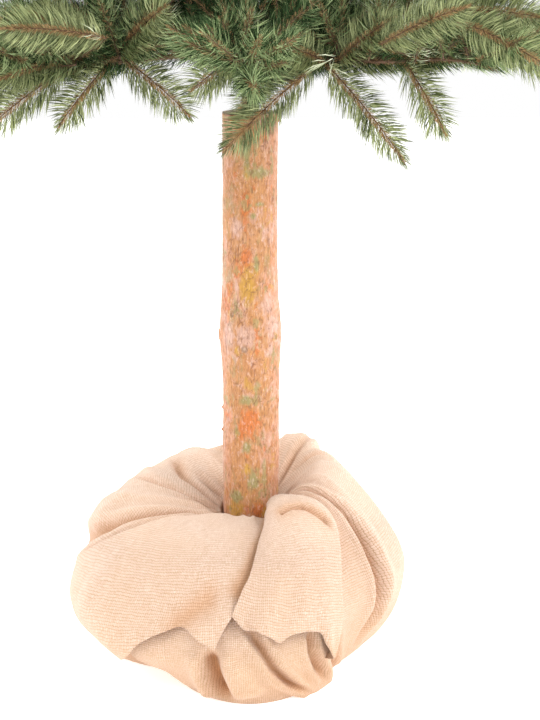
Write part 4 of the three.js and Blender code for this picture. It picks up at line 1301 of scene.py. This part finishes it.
# More sprays on every bough: (share of the reach, yaw, pitch, share of the blade's length).
FILLING_SPRAYS = ((0.11, 78, 20, 0.75), (0.11, -78, 32, 0.75), (0.13, 64, -26, 0.6), (0.17, 20, 62, 0.7),
                  (0.30, -30, 58, 0.8), (0.44, 36, 42, 0.8), (0.60, -34, 40, 0.8), (0.66, 60, 24, 0.8),
                  (0.66, -60, 26, 0.8), (0.74, 8, 30, 0.8), (0.12, 24, -48, 0.45), (0.12, -66, -30, 0.5))
# A spray's tone is drawn from these, but it is deep near the pole, as painted shade inside the crown, and mid
# at the bough's end.
SPRAY_TONES = ("light", "mid", "mid", "deep")
DEEP_WITHIN = 0.3
MID_BEYOND = 0.69
CLAD_SHARES = np.linspace(0.14, 0.82, 9)
CLAD_NEEDLE = 0.036
HUB_NEEDLE = 0.034
twig_paths = []
tips_by_kind = {(tone, part): [] for tone in ("light", "mid", "deep") for part in ("lower", "upper")}
for level, _, azimuth in every_bough():
    tier = TIERS[level]
    full = full_blade(tier)
    part = "lower" if level == 0 else "upper"
    cladding = [on_bough(tier, azimuth, radius) for radius in CLAD_SHARES * tier["reach"]]
    # The tips that clad the bough take the deep tone: painted shade inside the crown.
    tips_by_kind["deep", part].append(tip(cladding, CLAD_NEEDLE))
    sprays = blades_of(level, azimuth)
    for share, yaw, pitch, size in FILLING_SPRAYS:
        root, stem = root_and_stem(tier, azimuth, share * tier["reach"])
        way = aimed(stem, yaw, pitch)
        sprays.append((root, way, unit(np.cross(UP, way)), size * full))
    for blade in sprays:
        twigs, tips = spray(blade, lambda place: is_allowed(level, azimuth, place), needle_random)
        tone = SPRAY_TONES[needle_random.integers(len(SPRAY_TONES))]
        share = math.hypot(blade[0][0], blade[0][1]) / tier["reach"]
        if share < DEEP_WITHIN:
            tone = "deep"
        elif share > MID_BEYOND:
            tone = "mid"
        twig_paths.extend(twigs)
        tips_by_kind[tone, part].extend(tips)

lowest_limbs = [on_bough(TIERS[0], azimuth, radius) for level, _, azimuth in every_bough() if level == 0
                for radius in np.arange(0.1, 0.5, 0.02)]
hanging = []
for hub, end in np.array(PLACED_TIPS):
    way = end - hub
    reach = np.linalg.norm(way)
    arch = np.array((0, 0, PLACED_ARCH * reach))
    places = [hub + way * s + arch * math.sin(math.pi * s) for s in np.linspace(0, 1, TIP_STEPS + 1)]
    needle = min(1.10 * NEEDLE_LONGEST, 0.040 + 0.12 * reach)
    hanging.append(tip(places, needle))
    twig_paths.append((places, {"girth": PLACED_GIRTHS}))
    nearest = min(lowest_limbs, key=lambda spot: np.linalg.norm(spot - hub))
    twig_paths.append(([nearest, hub], {"girth": STALK_GIRTHS}))
    # The stalks to the hubs take the deep tone: painted shade inside the crown.
    tips_by_kind["deep", "lower"].append(tip([nearest, hub], HUB_NEEDLE))

# The leader, the whorls round it (height, tips, pitch, length, turn) and its own tip.
LEADER_FOOT = 1.9003
LEADER_TOP = 2.110
LEADER_GIRTHS = np.linspace(0.0070, 0.0022, 8)
TOP_TIP_FOOT = np.array((0, 0, 1.93))
TOP_TIP_LENGTH = 0.262
TOP_TIP_NEEDLE = 0.038
TOP_WHORLS = ((LEADER_FOOT + 0.006, 5, 2, 0.100, 46), (LEADER_FOOT + 0.030, 5, 36, 0.160, 10),
              (LEADER_FOOT + 0.112, 4, 54, 0.135, 50))
leader = [np.array((0, 0, z)) for z in np.linspace(LEADER_FOOT, LEADER_TOP, len(LEADER_GIRTHS))]
twig_paths.append((leader, {"girth": LEADER_GIRTHS}))
top_tips = tips_by_kind["mid", "upper"]
for height, count, pitch, length, turn in TOP_WHORLS:
    for k in range(count):
        yaw = math.radians(360 * k / count + turn)
        p = math.radians(pitch)
        along = np.array((math.cos(p) * math.cos(yaw), math.cos(p) * math.sin(yaw), math.sin(p)))
        across = unit(np.cross(UP, along))
        blade = (np.array((0, 0, height)), along, across, length)
        twigs, tips = spray(blade, lambda place: True, needle_random, TIP_FAN[:3])
        twig_paths.extend(twigs)
        top_tips.extend(tips)
top_tips.append(tip_path(TOP_TIP_FOOT, UP, TOP_TIP_LENGTH, np.zeros(3), TOP_TIP_NEEDLE))


def shape_object(name, corners, faces):
    """A mesh that brushes repeat. It isn't put in the scene itself."""
    mesh = bpy.data.meshes.new(name)
    mesh.from_pydata(corners, [], faces)
    return bpy.data.objects.new(name, mesh)


def kites(name, width, curl):
    """Long needles of two faces, one metre long, that stand on the origin and curl towards -X."""
    shapes = []
    for turn in (15, 75, 135):
        aside = np.array((math.cos(math.radians(turn)), math.sin(math.radians(turn)), 0)) * width / 2
        middle = np.array((0.0, 0.0, 0.5))
        corners = [(0, 0, 0), middle + aside, middle - aside, (-curl, 0, 0.99)]
        shapes.append(shape_object(name, corners, [(0, 1, 2), (1, 3, 2)]))
    return shapes


def stubs(name, width):
    """Short needles of one face, with the point on the origin and a cut end."""
    shapes = []
    for turn in (10, 70, 130):
        x = math.cos(math.radians(turn)) * width / 2
        y = math.sin(math.radians(turn)) * width / 2
        shapes.append(shape_object(name, [(0, 0, 0), (x, y, 0.8), (-x, -y, 1.0)], [(0, 1, 2)]))
    return shapes


def brush_recipe():
    """Needles round the paths: they lean forward, more so at the tip, where they are shorter."""
    kinds = {label: "Float" for label in ("Spacing", "Lean", "End Lean", "End Length", "Spread")}
    kinds.update({label: "Object" for label in ("First", "Second", "Third")})
    brush = Recipe("bottle brush", {**kinds, "Seed": "Int", "Finish": "Material"})
    seed = brush.given("Seed")
    line = brush.line(brush.given("Spacing"))
    factor = brush.add("GeometryNodeSplineParameter", {}, {}, out="Factor")
    late = factor.eased(0.70, 1.0)
    lean = brush.given("Lean") * (1 - late) + brush.given("End Lean") * late
    lean = lean + brush.chance(-0.13, 0.13, seed + 1)
    face = brush.add("FunctionNodeAlignRotationToVector", {"axis": "Z"},
                     {"Vector": brush.add("GeometryNodeInputTangent")})
    face = brush.add("FunctionNodeAlignRotationToVector", {"axis": "X", "pivot_axis": "Z"},
                     {"Rotation": face, "Vector": (0, 0, 1)})
    side = brush.chance(-1, 1, seed) * brush.given("Spread") + brush.chance(0, 1, seed + 5, "INT") * math.pi
    for axis, turn in (((0, 0, 1), brush.number("roll") + side), ((0, 1, 0), lean),
                       ((0, 0, 1), brush.chance(-0.5, 0.5, seed + 2))):
        step = brush.add("FunctionNodeAxisAngleToRotation", {}, {"Axis": axis, "Angle": turn})
        face = brush.add("FunctionNodeRotateRotation", {"rotation_space": "LOCAL"},
                         {"Rotation": face, "Rotate By": step})
    full = factor.eased(0.0, 0.16, 0.72, 1.0)
    size = brush.number("needle") * full * (1 - late * (1 - brush.given("End Length")))
    size = size * brush.chance(0.8, 1.08, seed + 3)
    shapes = []
    for label in ("First", "Second", "Third"):
        shape = brush.add("GeometryNodeObjectInfo", {}, {"Object": brush.given(label)}, out="Geometry")
        shapes.append(brush.add("GeometryNodeGeometryToInstance", {}, {"Geometry": shape}))
    shapes = brush.add("GeometryNodeJoinGeometry", {}, {"Geometry": shapes})
    scale = brush.add("ShaderNodeCombineXYZ", {}, {"X": size, "Y": size, "Z": size})
    pick = brush.chance(0, 2, seed + 4, "INT")
    needles = brush.add("GeometryNodeInstanceOnPoints", {},
                        {"Points": line, "Instance": shapes, "Pick Instance": True, "Instance Index": pick,
                         "Rotation": face, "Scale": scale})
    brush.close(brush.keep(needles, "own tone", brush.chance(0, 1, seed + 6), "INSTANCE"))
    return brush


# Single pale needles that stick out at a hub: the line that they grow on, and their length.
STRAY_NEEDLES = (((0.135, -0.420, 1.130), (0.117, -0.440, 1.123), 0.050),
                 ((0.124, -0.420, 1.124), (0.131, -0.436, 1.110), 0.042),
                 ((-0.224, -0.420, 1.160), (-0.238, -0.435, 1.165), 0.040))
# Each tone's darkest and brightest colour, and its gloss. Light, mid, hanging, deep and shade are lit and
# shaded copies of the one green foil: light carries painted highlights, deep and shade carry painted shade.
NEEDLE_COLOURS = {
    "pale": ((0.40, 0.44, 0.27), (0.64, 0.67, 0.48), 0.2),
    "hanging": ((0.034, 0.055, 0.016), (0.52, 0.57, 0.275), 0.22),
    "light": ((0.22, 0.29, 0.11), (0.85, 0.90, 0.65), 0.25),
    "mid": ((0.045, 0.092, 0.027), (0.445, 0.55, 0.262), 0.15),
    "deep": ((0.005, 0.018, 0.006), (0.083, 0.146, 0.054), 0.06),
    "shade": ((0.003, 0.010, 0.003), (0.032, 0.058, 0.021), 0.03),
}


def foil_finish(name, dark, bright, gloss):
    """Thin plastic foil, a little glossy, whose colour differs from needle to needle."""
    foil = Finish(name)
    wander = foil.cloud(foil.places(), 75, 3, 0.7)
    tone = foil.ramp(foil.stored("own tone") * 0.6 + wander * 0.6 - 0.1, [(0.2, dark), (0.8, bright)])
    return foil.wear(Base_Color=tone, Roughness=wander.eased(0.3, 0.7, 0.5, 0.64), Specular_IOR_Level=gloss)


needle_finishes = {tone: foil_finish("needles_" + tone, *looks) for tone, looks in NEEDLE_COLOURS.items()}
# The brown cores come in two copies of one foil: a dark one for the crown's own tips, as painted shade inside
# the crown, and a lighter one for the tips that hang below it.
shaded_core_finish = foil_finish("needles_brown", (0.115, 0.068, 0.030), (0.50, 0.325, 0.160), 0.1)
hanging_core_finish = foil_finish("needles_brown_hanging", (0.21, 0.120, 0.052), (0.65, 0.43, 0.215), 0.15)
long_shapes = kites("long_needle", 0.037, 0.12)
fine_shapes = kites("fine_needle", 0.035, 0.10)
short_shapes = stubs("short_needle", 0.125)
brush_tree = brush_recipe()
# How each kind of brush grows: its needles' shapes, their lean in degrees, the length of the last
# ones as a share, how far they spread to each side in degrees, and the seed.
BRUSHES = {
    "bright": (long_shapes, 57, 0.45, 62, 11),
    "shade": (long_shapes, 54, 0.45, 78, 12),
    "core": (short_shapes, 42, 0.8, 90, 13),
    "hanging": (fine_shapes, 57, 0.45, 46, 15),
    "hanging core": (short_shapes, 44, 0.8, 90, 16),
    "stray": (fine_shapes, 32, 1.0, 90, 17),
}
END_LEAN = 22
mass_nodes = [f"needles_{level + 1}_{k}" for level, k, _ in every_bough()] + ["needles_top"]


def for_masses(piece):
    """Says what a piece of the crown rides on and stands for."""
    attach(piece, "root")
    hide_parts(*mass_nodes)


def brush_piece(name, tips, kind, spacing, finish):
    """Makes one joined piece of needles, with one needle for every spacing along its tips."""
    shapes, lean, end_length, spread, seed = BRUSHES[kind]
    piece = brush_tree.make(name, tips, Spacing=spacing, Lean=math.radians(lean),
                            End_Lean=math.radians(END_LEAN), End_Length=end_length,
                            Spread=math.radians(spread), Seed=seed, First=shapes[0], Second=shapes[1],
                            Third=shapes[2], Finish=finish)
    for_masses(piece)


def cores(tips, needle):
    """The same tips with short needles of one length."""
    return [tip(places, needle) for places, _ in tips]


HANGING_CORE_NEEDLE = 0.0125
HANGING_SPACING = 0.00031
HANGING_CORE_SPACING = 0.00026
STRAY_SPACING = 0.0034
brush_piece("needles_hanging", hanging, "hanging", HANGING_SPACING, needle_finishes["hanging"])
brush_piece("needles_brown_hanging", cores(hanging, HANGING_CORE_NEEDLE), "hanging core",
            HANGING_CORE_SPACING, hanging_core_finish)
strays = [tip([np.array(first), np.array(last)], length) for first, last, length in STRAY_NEEDLES]
brush_piece("needles_pale", strays, "stray", STRAY_SPACING, needle_finishes["pale"])

# Spacing of the bright needles, of the shade behind them and of the brown cores.
NEEDLE_SPACING = {"lower": (0.00085, 0.0018, 0.00062), "upper": (0.00135, 0.0029, 0.00122)}
SHADE_LENGTH = 0.92
CORE_NEEDLE = 0.0115
for part, (bright_space, shade_space, core_space) in NEEDLE_SPACING.items():
    all_tips = []
    for tone in ("light", "mid", "deep"):
        tips = tips_by_kind[tone, part]
        all_tips.extend(tips)
        brush_piece(f"needles_{tone}_{part}", tips, "bright", bright_space, needle_finishes[tone])
    shade = [tip(places, numbers["needle"] * SHADE_LENGTH, numbers["roll"]) for places, numbers in all_tips]
    brush_piece(f"needles_shade_{part}", shade, "shade", shade_space, needle_finishes["shade"])
    brush_piece(f"needles_brown_{part}", cores(all_tips, CORE_NEEDLE), "core", core_space, shaded_core_finish)
for shape in long_shapes + fine_shapes + short_shapes:
    bpy.data.objects.remove(shape)
twigs = limb_tree.make("twigs", twig_paths, Step=0.022, Sides=3, Pitch=1.0, Depth=0.0, Finish=tape.material)
for_masses(twigs)

# Floor and light
# A plain white studio floor without an edge, a white surround, and soft lamps from both sides.
FLOOR_EDGES = (-9, 9)
FLOOR_HEIGHT = -0.001
floor_mesh = bpy.data.meshes.new("floor")
floor_mesh.from_pydata([(x, y, FLOOR_HEIGHT) for x in FLOOR_EDGES for y in FLOOR_EDGES], [], [(0, 2, 3, 1)])
floor = add_object("floor", floor_mesh)
floor_finish = Finish("white_floor")
floor_mesh.materials.append(floor_finish.wear(Base_Color=(0.95, 0.95, 0.95), Roughness=0.9,
                                              Emission_Color=(1.0, 1.0, 1.0), Emission_Strength=0.55))

world = bpy.data.worlds.new("white_surround")
world.use_nodes = True
world.node_tree.nodes["Background"].inputs["Color"].default_value = (1, 1, 1, 1)
world.node_tree.nodes["Background"].inputs["Strength"].default_value = 1.0
bpy.context.scene.world = world
bpy.context.scene.view_settings.view_transform = "Standard"


# Each soft square lamp's place, the height on the tree's axis that it faces, its size and its power.
LAMPS = {
    "lamp_left": ((-2.6, -1.6, 2.2), 0.8, 1.6, 31),
    "lamp_right": ((2.6, -0.9, 2.2), 0.8, 1.6, 54),
    "lamp_top": ((0.4, -0.8, 4.2), 0.6, 2.0, 60),
    "lamp_back_left": ((-2.3, 1.7, 1.7), 0.3, 1.4, 45),
    "lamp_back_right": ((2.4, 2.0, 1.3), 0.3, 1.4, 32),
}
for name, (place, aim, size, power) in LAMPS.items():
    light = bpy.data.lights.new(name, "AREA")
    light.size = size
    light.energy = power
    holder = bpy.data.objects.new(name, light)
    holder.location = place
    x, y, z = np.array((0, 0, aim)) - place
    holder.rotation_euler = (math.acos(-z / np.linalg.norm((x, y, z))), 0, math.atan2(y, x) - math.pi / 2)
    bpy.context.scene.collection.objects.link(holder)
